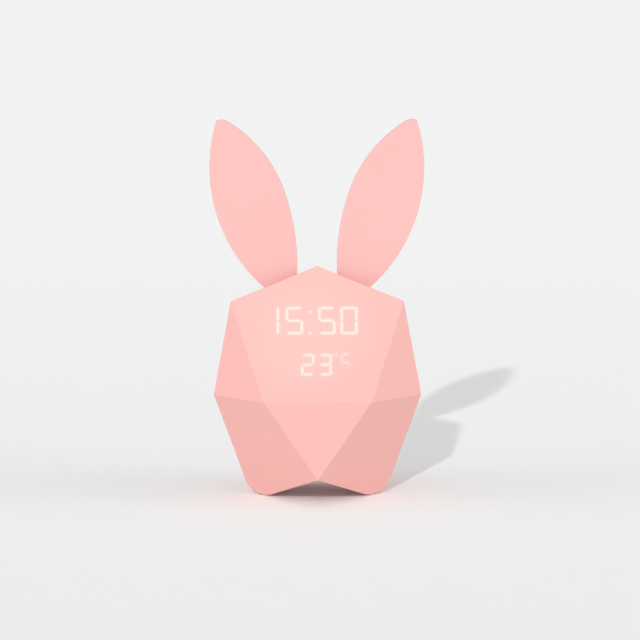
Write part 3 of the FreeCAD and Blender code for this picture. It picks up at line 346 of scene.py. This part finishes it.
# The lit display: bars of light that come through the front wall with soft edges
display = {
    "timeRow": 0.0449,
    "timeCentres": (-0.0246, -0.01205, 0.0050, 0.0166),
    "timeSize": (0.00925, 0.0153),
    "timeShown": "1550",
    "colon": -0.0037,
    "colonRows": (0.0496, 0.0381),
    "smallRow": 0.0207,
    "smallCentres": (-0.0051, 0.0040),
    "smallSize": (0.0073, 0.0120),
    "smallShown": "23",
    "unit": (0.0142, 0.0241),
    "unitSize": (0.0031, 0.0045),
    "degreeDot": (0.0099, 0.0257),
    "stroke": 0.00150,
    "barBreak": 0.00118,
    "postBreak": 0.0004,
    "middleBreak": 0.00095,
    "softness": 0.00058,
    "haloShare": 0.05,
    "haloReach": 0.0016,
    "leastLit": 0.004,
    "gridAcross": (-0.0270, 0.0240),
    "gridRows": (0.0115, 0.0560),
    "cell": 0.00025,
    "proud": 0.00008,
    "strengths": {"time": 0.97, "small": 0.90, "unit": 0.45, "dot": 0.60},
    "light": (0.533, 0.451, 0.407),
    "shaded": (0.50, 0.25, 0.235),
    "flatDeep": (0.34, 0.30, 0.27),
    "flatPale": (0.38, 0.34, 0.30),
    "fleckScale": 900.0,
    "roughness": 0.55,
    "gloss": 0.3,
}
litSegments = {"0": "abcdef", "1": "bc", "2": "abged", "3": "abgcd", "5": "afgcd"}
# The bars of the letter C, as shares of its width and height from its middle
unitBars = ((-0.5, 0.3, -0.5, -0.3), (-0.2, 0.5, 0.5, 0.5), (-0.2, -0.5, 0.5, -0.5))


def segmentBars(centre, row, digitSize, shown, strength):
    width = digitSize[0] - display["stroke"]
    height = digitSize[1] - display["stroke"]
    gap, tip, middle = display["barBreak"], display["postBreak"], display["middleBreak"]
    left, right = centre - width / 2, centre + width / 2
    low, high = row - height / 2, row + height / 2
    ends = {
        "a": (left + gap, high, right - gap, high),
        "b": (right, row + middle, right, high - tip),
        "c": (right, low + tip, right, row - middle),
        "d": (left + gap, low, right - gap, low),
        "e": (left, low + tip, left, row - middle),
        "f": (left, row + middle, left, high - tip),
        "g": (left + gap, row, right - gap, row),
    }
    return [(*ends[letter], strength) for letter in litSegments[shown]]


strengths = display["strengths"]
bars = []
for centre, shown in zip(display["timeCentres"], display["timeShown"]):
    bars += segmentBars(
        centre, display["timeRow"], display["timeSize"], shown, strengths["time"])
for centre, shown in zip(display["smallCentres"], display["smallShown"]):
    bars += segmentBars(
        centre, display["smallRow"], display["smallSize"], shown, strengths["small"])
for row in display["colonRows"]:
    bars.append((display["colon"], row, display["colon"], row, strengths["time"]))
unitX, unitRow = display["unit"]
unitWidth, unitHeight = display["unitSize"]
for x, row, endX, endRow in unitBars:
    bars.append((unitX + x * unitWidth, unitRow + row * unitHeight,
                 unitX + endX * unitWidth, unitRow + endRow * unitHeight, strengths["unit"]))
bars.append((*display["degreeDot"], *display["degreeDot"], strengths["dot"]))

# How brightly each point of a fine grid is lit, from its distance to the nearest bar
cell = display["cell"]
acrossCells = np.arange(*display["gridAcross"], cell)
rowCells = np.arange(*display["gridRows"], cell)
gridX, gridRow = np.meshgrid(acrossCells, rowCells)
lit = np.zeros_like(gridX)
for startX, startRow, endX, endRow, strength in bars:
    runX, runRow = endX - startX, endRow - startRow
    length = runX * runX + runRow * runRow
    along = 0.0
    if length > 0:
        along = np.clip(((gridX - startX) * runX + (gridRow - startRow) * runRow) / length, 0, 1)
    distance = np.hypot(gridX - startX - along * runX, gridRow - startRow - along * runRow)
    inside = display["stroke"] / 2 + display["softness"] - distance
    edge = np.clip(inside / (2 * display["softness"]), 0, 1)
    core = edge * edge * (3 - 2 * edge)
    halo = display["haloShare"] * np.exp(-(distance / display["haloReach"]) ** 2)
    lit = np.maximum(lit, strength * np.clip(core + halo, 0, 1))

seen = lit > display["leastLit"]
quads = seen[:-1, :-1] | seen[1:, :-1] | seen[:-1, 1:] | seen[1:, 1:]
rows, columns = np.nonzero(quads)
wide = gridX.shape[1]
corners = np.stack([rows * wide + columns, rows * wide + columns + 1,
                    (rows + 1) * wide + columns + 1, (rows + 1) * wide + columns], 1)
used, faces = np.unique(corners, return_inverse=True)
faces = faces.reshape(corners.shape)
flatX, flatRow, flatLit = gridX.ravel()[used], gridRow.ravel()[used], lit.ravel()[used]
base = facetOrigin + facetOut * display["proud"]
points = np.array(base)[None, :] + flatRow[:, None] * np.array(facetUp)[None, :]
points[:, 0] += flatX
glowMesh = bpy.data.meshes.new("display_glow")
glowMesh.from_pydata(points.tolist(), [], faces.tolist())
litAttribute = glowMesh.attributes.new("lit", "FLOAT", "POINT")
litAttribute.data.foreach_set("value", flatLit.astype(np.float32))
glowMesh.update()
displayGlow = placed("display_glow", glowMesh)


# Where the bars let part of the wall through they also shade it, and "shaded" gives that back
def displayLight(tree):
    level = tree.node("ShaderNodeAttribute", {"attribute_name": "lit"}, {}, "Fac")
    fleck = tree.noise(tree.place(), display["fleckScale"])
    light = display["light"]
    lifted = [own + wall for own, wall in zip(light, display["shaded"])]
    return {
        "Base Color": tree.blendColours(
            fleck, colour(*display["flatDeep"]), colour(*display["flatPale"])),
        "Roughness": display["roughness"],
        "Specular IOR Level": display["gloss"],
        "Emission Color": tree.blendColours(level, colour(*lifted), colour(*light)),
        "Emission Strength": 1.0,
        "Alpha": level,
    }


glowMesh.materials.append(surface("displayLight", displayLight))
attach(displayGlow, "case")
print("display lit:", len(faces), "cells")


# A growing tree: named inputs, and one geometry at its end
def growTree(name, inputs):
    made = bpy.data.node_groups.new(name, "GeometryNodeTree")
    for label, kind in inputs.items():
        made.interface.new_socket(label, in_out="INPUT", socket_type="NodeSocket" + kind)
    made.interface.new_socket("Geometry", in_out="OUTPUT", socket_type="NodeSocketGeometry")
    tree = Tree(made)
    group = made.nodes.new("NodeGroupInput")
    return tree, {label: Wire(tree, group.outputs[label]) for label in inputs}


def endTree(tree, geometry, material):
    real = tree.node("GeometryNodeRealizeInstances", {}, {"Geometry": geometry})
    worn = tree.node("GeometryNodeSetMaterial", {}, {"Geometry": real, "Material": material})
    outlet = tree.made.nodes.new("NodeGroupOutput")
    tree.made.links.new(worn.socket, outlet.inputs["Geometry"])


def flattened(holder):
    graph = bpy.context.evaluated_depsgraph_get()
    return bpy.data.meshes.new_from_object(holder.evaluated_get(graph))


# The tree's result as a plain mesh, in an object of its own
def grown(name, tree, inputs, spots=()):
    mesh = bpy.data.meshes.new(name)
    mesh.from_pydata(list(spots), [], [])
    seed = placed(name + "Seed", mesh)
    modifier = seed.modifiers.new("grow", "NODES")
    modifier.node_group = tree.made
    for item in tree.made.interface.items_tree:
        if item.item_type == "SOCKET" and item.in_out == "INPUT" and item.name in inputs:
            modifier[item.identifier] = inputs[item.name]
    result = flattened(seed)
    bpy.data.objects.remove(seed)
    return placed(name, result)


# The leaf ears: four arcs and a tab make the outline, which is filled, thickened and rounded
ear = {
    "thickness": 0.006,
    "rim": 0.0008,
    "rimSteps": 4,
    "top": 0.2003,
    "tipX": 0.0501,
    "tipWidth": 0.0068,
    "tipShare": 0.85,
    "tipOuterDrop": 0.0005,
    "tipInnerDrop": 0.001,
    "bulge": (0.0567, 0.1770),
    "bend": (0.0161, 0.1593),
    "upperBow": 0.0046,
    "lowerBow": 0.00235,
    "rootInner": (0.0110, 0.1132),
    "rootOuter": (0.0275, 0.1110),
    "tabZ": 0.0940,
    "screwInset": 0.0035,
    "screwZ": 0.0980,
    "screwHole": 0.0009,
    "holeSteps": 24,
    "arcSteps": 48,
    "weld": 0.00002,
}


def bowed(start, end, bow):
    middle = (Vector(start) + Vector(end)) / 2
    run = (Vector(end) - Vector(start)).normalized()
    return middle + Vector((-run.y, run.x)) * bow


def earTree():
    tree, given = growTree("earPlate", {
        "Tip Outer": "Vector", "Tip": "Vector", "Tip Inner": "Vector", "Bulge": "Vector",
        "Upper Middle": "Vector", "Bend": "Vector", "Lower Middle": "Vector",
        "Root Inner": "Vector", "Root Outer": "Vector", "Tab Inner": "Vector",
        "Tab Outer": "Vector", "Hole A": "Vector", "Hole B": "Vector", "Hole Radius": "Float",
        "Thickness": "Float", "Steps": "Int", "Material": "Material",
    })

    def arc(start, middle, end):
        return tree.node("GeometryNodeCurveArc", {"mode": "POINTS"}, {
            "Resolution": given["Steps"], "Start": given[start],
            "Middle": given[middle], "End": given[end]})

    def line(start, end):
        return tree.node("GeometryNodeCurvePrimitiveLine", {},
                         {"Start": given[start], "End": given[end]})

    def hole(spot):
        ring = tree.node("GeometryNodeCurvePrimitiveCircle", {},
                         {"Resolution": ear["holeSteps"], "Radius": given["Hole Radius"]})
        return tree.node("GeometryNodeTransform", {},
                         {"Geometry": ring, "Translation": given[spot]})

    def welded(geometry):
        return tree.node("GeometryNodeMergeByDistance", {},
                         {"Geometry": geometry, "Distance": ear["weld"]})

    def part(vector, letter):
        return tree.node("ShaderNodeSeparateXYZ", {}, {"Vector": vector}, letter)

    def greater(first, second):
        return tree.node("ShaderNodeMath", {"operation": "GREATER_THAN"}, {0: first, 1: second})

    sides = [arc("Root Outer", "Bulge", "Tip Outer"), arc("Tip Outer", "Tip", "Tip Inner"),
             arc("Tip Inner", "Upper Middle", "Bend"), arc("Bend", "Lower Middle", "Root Inner"),
             line("Root Inner", "Tab Inner"), line("Tab Inner", "Tab Outer"),
             line("Tab Outer", "Root Outer")]
    runs = tree.node("GeometryNodeJoinGeometry", {}, {"Geometry": sides})
    edges = tree.node("GeometryNodeCurveToMesh", {}, {"Curve": runs})
    outline = tree.node("GeometryNodeMeshToCurve", {}, {"Mesh": welded(edges)})
    loops = tree.node("GeometryNodeJoinGeometry", {}, {
        "Geometry": [outline, hole("Hole A"), hole("Hole B")]})
    flat = tree.node("GeometryNodeFillCurve", {"mode": "NGONS"}, {"Curve": loops})
    raised = tree.node("GeometryNodeExtrudeMesh", {"mode": "FACES"}, {
        "Mesh": flat, "Offset": (0.0, 0.0, 1.0), "Offset Scale": given["Thickness"],
        "Individual": False})
    under = tree.node("GeometryNodeFlipFaces", {}, {"Mesh": flat})
    both = tree.node("GeometryNodeJoinGeometry", {}, {"Geometry": [raised, under]})
    # Only the rims of the two faces are rounded, and only above the tab
    where = tree.node("GeometryNodeInputPosition", {}, {})
    above = greater(part(where, "Y"), part(given["Root Outer"], "Y"))
    fromMiddle = (part(where, "Z") - given["Thickness"] * 0.5).size()
    nearFace = greater(fromMiddle, given["Thickness"] * 0.25)
    perEdge = {"data_type": "FLOAT", "domain": "EDGE"}
    marked = tree.node("GeometryNodeStoreNamedAttribute", perEdge, {
        "Geometry": welded(both), "Name": "bevel_weight_edge", "Value": above * nearFace})
    stood = tree.node("GeometryNodeTransform", {}, {
        "Geometry": marked, "Rotation": (math.pi / 2, 0.0, 0.0)})
    smooth = tree.node("GeometryNodeSetShadeSmooth", {}, {"Geometry": stood})
    endTree(tree, smooth, given["Material"])
    return tree


earPlate = earTree()
for name, node, side in (("left_leaf", "left_ear", -1), ("right_leaf", "right_ear", 1)):
    def spot(x, z):
        return Vector((side * x, z, 0.0))

    tipOuter = (ear["tipX"] + ear["tipWidth"] / 2 * ear["tipShare"],
                ear["top"] - ear["tipOuterDrop"])
    tipInner = (ear["tipX"] - ear["tipWidth"] / 2, ear["top"] - ear["tipInnerDrop"])
    upperMiddle = bowed(tipInner, ear["bend"], -ear["upperBow"])
    lowerMiddle = bowed(ear["bend"], ear["rootInner"], -ear["lowerBow"])
    leaf = grown(name, earPlate, {
        "Tip Outer": spot(*tipOuter), "Tip": spot(ear["tipX"], ear["top"]),
        "Tip Inner": spot(*tipInner), "Bulge": spot(*ear["bulge"]),
        "Upper Middle": spot(*upperMiddle), "Bend": spot(*ear["bend"]),
        "Lower Middle": spot(*lowerMiddle), "Root Inner": spot(*ear["rootInner"]),
        "Root Outer": spot(*ear["rootOuter"]),
        "Tab Inner": spot(ear["rootInner"][0], ear["tabZ"]),
        "Tab Outer": spot(ear["rootOuter"][0], ear["tabZ"]),
        "Hole A": spot(ear["rootInner"][0] + ear["screwInset"], ear["screwZ"]),
        "Hole B": spot(ear["rootOuter"][0] - ear["screwInset"], ear["screwZ"]),
        "Hole Radius": ear["screwHole"], "Thickness": ear["thickness"],
        "Steps": ear["arcSteps"], "Material": earPlastic,
    })
    bevel = leaf.modifiers.new("rim", "BEVEL")
    bevel.width = ear["rim"]
    bevel.segments = ear["rimSteps"]
    bevel.limit_method = "WEIGHT"
    bevel.harden_normals = True
    rimmed = flattened(leaf)
    leaf.modifiers.clear()
    leaf.data = rimmed
    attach(leaf, "case")
    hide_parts(node)
    print(name, "grown:", len(leaf.data.polygons), "faces")


# The back: its own right, up and out, as someone behind the clock sees them
backOut = -Vector(next(joint["axis"] for joint in frame["joints"] if joint["name"] == "set_press"))
backRight = Vector((-1.0, 0.0, 0.0))
backUp = backOut.cross(backRight)
backTurn = Matrix((backRight, backUp, backOut)).transposed()


def cornersOf(node):
    return np.array([vertex.co for vertex in nodes[node].data.vertices])


# How far points reach along right, up and out
def backSpans(points):
    levels = [points @ np.array(axis) for axis in (backRight, backUp, backOut)]
    return [(level.min(), level.max()) for level in levels]


def onBack(right, up, out):
    return backRight * right + backUp * up + backOut * out


# The middle of a node's outermost level
def topOf(node):
    right, up, out = backSpans(cornersOf(node))
    return onBack(sum(right) / 2, sum(up) / 2, out[1])


# Each corner becomes a short curve, which leaves the two sides at the given distance
def rounded(outline, corner, steps=4):
    points = []
    for index, point in enumerate(outline):
        point = Vector(point)
        before = (Vector(outline[index - 1]) - point).normalized()
        after = (Vector(outline[(index + 1) % len(outline)]) - point).normalized()
        for step in range(steps + 1):
            share = step / steps
            start, end = point + before * corner, point + after * corner
            points.append(start * (1 - share) ** 2 + point * 2 * share * (1 - share)
                          + end * share ** 2)
    return points


def ringPoints(radius, count):
    turns = [2 * math.pi * i / count for i in range(count)]
    return [Vector((radius * math.cos(turn), radius * math.sin(turn))) for turn in turns]


def barOutline(centre, length, width, angle=0.0):
    along = Vector((math.cos(angle), math.sin(angle)))
    across = Vector((-along.y, along.x))
    corners = [(-1, -1), (1, -1), (1, 1), (-1, 1)]
    outline = [Vector(centre) + along * (sx * length / 2) + across * (sy * width / 2)
               for sx, sy in corners]
    return rounded(outline, width * mark["barRound"])


# A raised mark: each outline becomes a low prism, sunk a little into the cap. One without an
# inner outline has a sloped rim
def raisedMark(name, outlines, top):
    height, sunk, slope = mark["height"], mark["sunk"], mark["slope"]
    shape = bmesh.new()

    def ringAt(points, level):
        return [shape.verts.new(backTurn @ Vector((point.x, point.y, level)) + top)
                for point in points]

    for outline, inner in outlines:
        count = len(outline)
        middle = sum(outline, Vector((0.0, 0.0))) / count
        sloped = [point + (middle - point).normalized() * slope for point in outline]
        crown = sloped if inner is None else outline
        rings = [ringAt(outline, -sunk), ringAt(outline, height - slope), ringAt(crown, height)]
        for low, high in zip(rings, rings[1:]):
            for i in range(count):
                shape.faces.new((low[i], low[(i + 1) % count], high[(i + 1) % count], high[i]))
        if inner is None:
            shape.faces.new(rings[-1])
        else:
            hollow = [ringAt(inner, -sunk), ringAt(inner, height)]
            for i in range(count):
                j = (i + 1) % count
                shape.faces.new((hollow[0][j], hollow[0][i], hollow[1][i], hollow[1][j]))
                shape.faces.new((rings[-1][i], rings[-1][j], hollow[1][j], hollow[1][i]))
    mesh = bpy.data.meshes.new(name)
    shape.to_mesh(mesh)
    shape.free()
    return placed(name, mesh)


# Every length from "bell" on is a share of half the mark's size
mark = {
    "size": 0.0040,
    "height": 0.00018,
    "sunk": 0.00005,
    "slope": 0.00006,
    "barRound": 0.35,
    "bell": [(0.90, -0.55), (0.62, -0.30), (0.55, 0.25), (0.36, 0.62), (0.10, 0.74)],
    "clapper": {"drop": 0.82, "radius": 0.17, "steps": 16},
    "sun": {"radius": 0.46, "steps": 28, "rays": 8, "rayAt": 0.86, "ray": (0.30, 0.15)},
    "minus": (1.5, 0.26),
    "ring": {"outer": 0.66, "inner": 0.44, "steps": 36},
    "plus": [(0.13, -0.75), (0.13, -0.13), (0.75, -0.13)],
}
halfMark = mark["size"] / 2


def scaled(points):
    return [Vector(point) * halfMark for point in points]


def disc(radius, steps):
    return ringPoints(radius * halfMark, steps)


def bar(size, centre=(0.0, 0.0), angle=0.0):
    return barOutline(Vector(centre) * halfMark, size[0] * halfMark, size[1] * halfMark, angle)


bell = scaled(mark["bell"] + [(-x, y) for x, y in reversed(mark["bell"])])
clapper, sun, ring = mark["clapper"], mark["sun"], mark["ring"]
clapperDrop = Vector((0.0, -clapper["drop"] * halfMark))
clapperDisc = [point + clapperDrop for point in disc(clapper["radius"], clapper["steps"])]
sunRays = [bar(sun["ray"], ray * sun["rayAt"], math.atan2(ray.y, ray.x))
           for ray in ringPoints(1.0, sun["rays"])]
plus = mark["plus"] + [(x, -y) for x, y in reversed(mark["plus"])]
plus += [(-x, -y) for x, y in plus]
marks = {
    "alarm_button": [(bell, None), (clapperDisc, None)],
    "light_button": [(disc(sun["radius"], sun["steps"]), None)] + [(ray, None) for ray in sunRays],
    "minus_button": [(bar(mark["minus"]), None)],
    "set_button": [(disc(ring["outer"], ring["steps"]), disc(ring["inner"], ring["steps"]))],
    "plus_button": [(scaled(plus), None)],
}
for button, outlines in marks.items():
    raised = raisedMark(button + "_mark", outlines, topOf(button))
    raised.data.materials.append(markPlastic)
    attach(raised, button)
print("marks raised on", len(marks), "buttons")


# Corners nearer than this are one
sameSpot = 0.000001


# The separate solids of a node, as arrays of points, in the order of their first corners
def solidsOf(node):
    shape = bmesh.new()
    shape.from_mesh(nodes[node].data)
    bmesh.ops.remove_doubles(shape, verts=shape.verts, dist=sameSpot)
    found, groups = set(), []
    for first in shape.verts:
        if first in found:
            continue
        found.add(first)
        group = [first]
        for vertex in group:
            for link in vertex.link_edges:
                other = link.other_vert(vertex)
                if other not in found:
                    found.add(other)
                    group.append(other)
        groups.append(np.array([vertex.co for vertex in group]))
    shape.free()
    return groups


# A row of small blocks, set at each spot: slider ridges, socket contacts and the chips' legs
def blockRowTree():
    tree, given = growTree("blockRow", {
        "Spots": "Geometry", "Count": "Int", "Step": "Vector", "Size": "Vector",
        "Turn": "Rotation", "Material": "Material",
    })
    back = (given["Count"] - 1.0) * -0.5
    start = tree.node("ShaderNodeVectorMath", {"operation": "SCALE"},
                      {0: given["Step"], "Scale": back})
    row = tree.node("GeometryNodeMeshLine", {}, {
        "Count": given["Count"], "Start Location": start, "Offset": given["Step"]})
    block = tree.node("GeometryNodeMeshCube", {}, {"Size": given["Size"]})
    blocks = tree.node("GeometryNodeInstanceOnPoints", {}, {"Points": row, "Instance": block})
    many = tree.node("GeometryNodeInstanceOnPoints", {}, {
        "Points": given["Spots"], "Instance": blocks, "Rotation": given["Turn"]})
    endTree(tree, many, given["Material"])
    return tree


blockRow = blockRowTree()


def rowsAt(name, look, spots, turn, material, body):
    piece = grown(name, blockRow, {
        "Count": look["count"], "Step": (look["pitch"], 0.0, 0.0), "Size": look["size"],
        "Turn": turn.to_euler(), "Material": material,
    }, spots)
    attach(piece, body)
    print(name, "made:", len(spots), "rows of", look["count"])


ridges = {"count": 3, "pitch": 0.00075, "size": (0.0003, 0.0019, 0.00044)}
rowsAt("slider_ridges", ridges, [topOf("alarm_slider")], backTurn, buttonPlastic,
       "alarm_slider")

# Contacts on both sides of the socket's tongue
contacts = {"count": 10, "pitch": 0.0005, "size": (0.00025, 0.00004, 0.0030),
            "tongue": 0.0003, "sunk": 0.0028}
mouth = topOf("charging_port") - backOut * contacts["sunk"]
offTongue = backUp * contacts["tongue"]
rowsAt("socket_contacts", contacts, [mouth - offTongue, mouth + offTongue],
       backTurn, contactGold, "case")

# The largest chip has legs on four sides, the others on two. "out" is from a leg's middle to
# its chip's side
longLegs = {"count": 8, "pitch": 0.0008, "size": (0.0003, 0.0009, 0.00022), "out": 0.0003}
shortLegs = {"count": 3, "pitch": 0.00127, "size": (0.0004, 0.0010, 0.00022), "out": 0.0003}
boardLevel = sum(backSpans(cornersOf("main_board"))[2]) / 2
chips = []
for points in solidsOf("board_chips"):
    right, up, out = backSpans(points)
    foot, facing = (out[0], 1) if sum(out) / 2 > boardLevel else (out[1], -1)
    level = foot + facing * longLegs["size"][2] / 2
    reach = ((right[1] - right[0]) / 2, (up[1] - up[0]) / 2)
    chips.append((onBack(sum(right) / 2, sum(up) / 2, level), reach))
chips.sort(key=lambda chip: chip[1][0] * chip[1][1], reverse=True)


def legSpots(chip, axis, legs):
    base, reach = chip
    away = (backRight, backUp)[axis] * (reach[axis] + legs["out"])
    return [base - away, base + away]


processor = chips[0]
endSpots = legSpots(processor, 1, longLegs)
sideSpots = legSpots(processor, 0, longLegs)
chipSpots = [spot for chip in chips[1:] for spot in legSpots(chip, 1, shortLegs)]
quarter = backTurn @ Matrix.Rotation(math.pi / 2, 3, "Z")
rowsAt("processor_end_legs", longLegs, endSpots, backTurn, canSteel, "case")
rowsAt("processor_side_legs", longLegs, sideSpots, quarter, canSteel, "case")
rowsAt("chip_legs", shortLegs, chipSpots, backTurn, canSteel, "case")


# Screws: a sloped pan head with a cross recess, and a thread wound round the shank
screw = {
    "sides": 24,
    "slope": 0.78,
    "core": 0.80,
    "threadPitch": 0.0007,
    "threadShare": 0.94,
    "threadFoot": 0.97,
    "threadSteps": 14,
    "threadSides": 3,
    "recessLong": 1.30,
    "recessWide": 0.30,
    "recessDeep": 0.60,
    "levelBand": 0.00001,
    "headMargin": 1.1,
}
screwHeads = {
    "display_screws": facetOut * -1.0,
    "board_screws": backOut * -1.0,
    "panel_screws": backOut,
    "tray_screws": Vector((0.0, 0.0, 1.0)),
    "night_light_screws": Vector((0.0, 0.0, 1.0)),
    "ear_screws": Vector((0.0, -1.0, 0.0)),
    "case_screws": Vector((0.0, 0.0, -1.0)),
}


def screwTree():
    tree, given = growTree("screwRow", {
        "Spots": "Geometry", "Shank Radius": "Float", "Shank Length": "Float",
        "Head Radius": "Float", "Head Height": "Float", "Turn": "Rotation", "Sides": "Int",
        "Material": "Material",
    })

    def cross(width, length):
        return tree.node("ShaderNodeCombineXYZ", {}, {
            "X": given["Head Radius"] * width, "Y": given["Head Radius"] * length,
            "Z": given["Head Height"] * screw["recessDeep"] * 2})

    def lowered(geometry, depth):
        down = tree.node("ShaderNodeCombineXYZ", {}, {"Z": depth * -1.0})
        return tree.node("GeometryNodeTransform", {}, {"Geometry": geometry, "Translation": down})

    coreRadius = given["Shank Radius"] * screw["core"]
    core = tree.node("GeometryNodeMeshCylinder", {}, {
        "Vertices": given["Sides"], "Radius": coreRadius, "Depth": given["Shank Length"]})
    shank = lowered(core, given["Shank Length"] * 0.5 + given["Head Height"])
    turns = given["Shank Length"] / screw["threadPitch"]
    spiral = tree.node("GeometryNodeCurveSpiral", {}, {
        "Resolution": screw["threadSteps"], "Rotations": turns, "Start Radius": coreRadius,
        "End Radius": coreRadius, "Height": given["Shank Length"] * screw["threadShare"]})
    ridge = tree.node("GeometryNodeCurvePrimitiveCircle", {}, {
        "Resolution": screw["threadSides"],
        "Radius": given["Shank Radius"] * (1.0 - screw["core"])})
    wound = tree.node("GeometryNodeCurveToMesh", {}, {
        "Curve": spiral, "Profile Curve": ridge, "Fill Caps": True})
    thread = lowered(wound, given["Shank Length"] * screw["threadFoot"] + given["Head Height"])
    pan = tree.node("GeometryNodeMeshCone", {}, {
        "Vertices": given["Sides"], "Radius Top": given["Head Radius"] * screw["slope"],
        "Radius Bottom": given["Head Radius"], "Depth": given["Head Height"]})
    head = lowered(pan, given["Head Height"])
    wide, long = screw["recessWide"], screw["recessLong"]
    slots = [tree.node("GeometryNodeMeshCube", {}, {"Size": cross(*arm)})
             for arm in ((wide, long), (long, wide))]
    cut = tree.node("GeometryNodeMeshBoolean", {"operation": "DIFFERENCE", "solver": "EXACT"},
                    {"Mesh 1": head, "Mesh 2": slots})
    whole = tree.node("GeometryNodeJoinGeometry", {}, {"Geometry": [shank, thread, cut]})
    many = tree.node("GeometryNodeInstanceOnPoints", {}, {
        "Points": given["Spots"], "Instance": whole, "Rotation": given["Turn"]})
    endTree(tree, many, given["Material"])
    return tree


screwRow = screwTree()
for node, facing in screwHeads.items():
    spots = []
    for points in solidsOf(node):
        axis, band = np.array(facing), screw["levelBand"]
        levels = points @ axis
        top, tip = levels.max(), levels.min()
        head, end = points[levels > top - band], points[levels < tip + band]
        centre, endCentre = head.mean(axis=0), end.mean(axis=0)
        headRadius = np.linalg.norm(head - centre, axis=1).max()
        shankRadius = np.linalg.norm(end - endCentre, axis=1).max()
        fromAxis = np.linalg.norm(points - centre - np.outer(levels - top, axis), axis=1)
        seat = levels[fromAxis > shankRadius * screw["headMargin"]].min()
        spots.append(Vector(centre))
    piece = grown(node + "_made", screwRow, {
        "Shank Radius": float(shankRadius), "Shank Length": float(seat - tip),
        "Head Radius": float(headRadius), "Head Height": float(top - seat),
        "Turn": facing.to_track_quat("Z", "Y").to_euler(), "Sides": screw["sides"],
        "Material": screwSteel,
    }, spots)
    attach(piece, "case")
    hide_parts(node)
    print(node, "made:", len(spots), "screws,", len(piece.data.polygons), "faces")


# The stage: a wide pale floor, painted less red near the clock to cancel the pink light the clock
# bounces onto it. What the camera sees of the floor is lifted, less in front than behind, a painted
# shade that darkens the floor towards the front. What it sees of the room is lifted evenly
stage = {
    "half": 40.0,
    "farPaint": (0.944, 0.944, 0.944),
    "paintedBounceCancel": (0.905, 0.950, 0.953),
    "nearReach": 0.24,
    "liftNear": 0.02,
    "liftFar": 0.075,
    "liftFrom": -0.6,
    "liftTo": 1.4,
    "beyond": 0.885,
    "roughness": 0.9,
}
floorMesh = bpy.data.meshes.new("floor")
half = stage["half"]
floorCorners = [(-half, -half, 0.0), (half, -half, 0.0), (half, half, 0.0), (-half, half, 0.0)]
floorMesh.from_pydata(floorCorners, [], [(0, 1, 2, 3)])
floor = placed("floor", floorMesh)


def grey(level):
    return colour(level, level, level)


# One for the rays that show a surface to the camera, straight or mirrored, and nought for others
def seenDirectly(tree):
    rays = [tree.node("ShaderNodeLightPath", {}, {}, name)
            for name in ("Is Camera Ray", "Is Glossy Ray", "Is Transmission Ray")]
    return (rays[0] + rays[1] + rays[2]).clamped()


def floorPaint(tree):
    place = tree.place()
    away = tree.node("ShaderNodeVectorMath", {"operation": "LENGTH"}, {0: place}, "Value")
    near = away / stage["nearReach"]
    depth = tree.node("ShaderNodeSeparateXYZ", {}, {"Vector": place}, "Y")
    # Painted shade: the lift is least in front, so the floor seen by the camera darkens towards the
    # front
    back = ((depth - stage["liftFrom"]) / (stage["liftTo"] - stage["liftFrom"])).clamped()
    lift = tree.blendColours(back, grey(stage["liftNear"]), grey(stage["liftFar"]))
    # Painted light: near the clock the floor is tinted less red, cancelling the pink light the
    # clock bounces onto it
    return {
        "Base Color": tree.blendColours(
            near.clamped(), colour(*stage["paintedBounceCancel"]), colour(*stage["farPaint"])),
        "Roughness": stage["roughness"],
        "Specular IOR Level": 0.0,
        "Emission Color": tree.blendColours(seenDirectly(tree), grey(0.0), lift),
        "Emission Strength": 1.0,
    }


floorMesh.materials.append(surface("floorPaint", floorPaint))

# The lamps: one low key from the left front, a broad low lamp at each side, and an even room
lamps = {
    "key": {"towards": (-0.161, -0.913, 0.394), "strength": 1.50, "angle": 1.4},
    "left": {"towards": (-1.0, -0.25, 0.06), "strength": 1.34, "angle": 50.0},
    "right": {"towards": (1.0, -0.25, 0.06), "strength": 1.68, "angle": 50.0},
}
roomLight = 0.557
for name, look in lamps.items():
    lamp = bpy.data.lights.new(name, "SUN")
    lamp.energy = look["strength"]
    lamp.angle = math.radians(look["angle"])
    holder = placed(name, lamp)
    holder.rotation_euler = Vector(look["towards"]).to_track_quat("Z", "Y").to_euler()
world = bpy.data.worlds.new("room")
scene.world = world
world.use_nodes = True
world.node_tree.nodes.clear()
roomTree = Tree(world.node_tree)
roomColour = roomTree.blendColours(
    seenDirectly(roomTree), grey(roomLight), grey(stage["beyond"]))
roomShade = roomTree.node("ShaderNodeBackground", {}, {"Color": roomColour, "Strength": 1.0})
roomTree.node("ShaderNodeOutputWorld", {}, {"Surface": roomShade})

# The camera: 1.6 m in front, a little higher than the clock and tipped down to it
camera = {
    "place": (-0.0026, -1.614, 0.3019),
    "pitch": 7.365,
    "yaw": 0.144,
    "roll": -0.183,
    "lens": 171.7,
    "sensor": 36.0,
    "clip": (0.05, 30.0),
}
pitch, yaw, roll = (math.radians(camera[name]) for name in ("pitch", "yaw", "roll"))
forward = Vector((
    math.sin(yaw) * math.cos(pitch), math.cos(yaw) * math.cos(pitch), -math.sin(pitch)))
levelRight = Vector((math.cos(yaw), -math.sin(yaw), 0.0))
levelUp = levelRight.cross(forward)
right = levelRight * math.cos(roll) + levelUp * math.sin(roll)
upward = levelUp * math.cos(roll) - levelRight * math.sin(roll)
eye = bpy.data.cameras.new("camera")
eye.lens = camera["lens"]
eye.sensor_width = camera["sensor"]
eye.clip_start, eye.clip_end = camera["clip"]
eye.dof.use_dof = False
stand = placed("camera", eye)
stand.matrix_world = Matrix((
    (right.x, upward.x, -forward.x, camera["place"][0]),
    (right.y, upward.y, -forward.y, camera["place"][1]),
    (right.z, upward.z, -forward.z, camera["place"][2]),
    (0.0, 0.0, 0.0, 1.0),
))
scene.camera = stand
scene.view_settings.view_transform = "Standard"
print("stage, lamps and camera set")
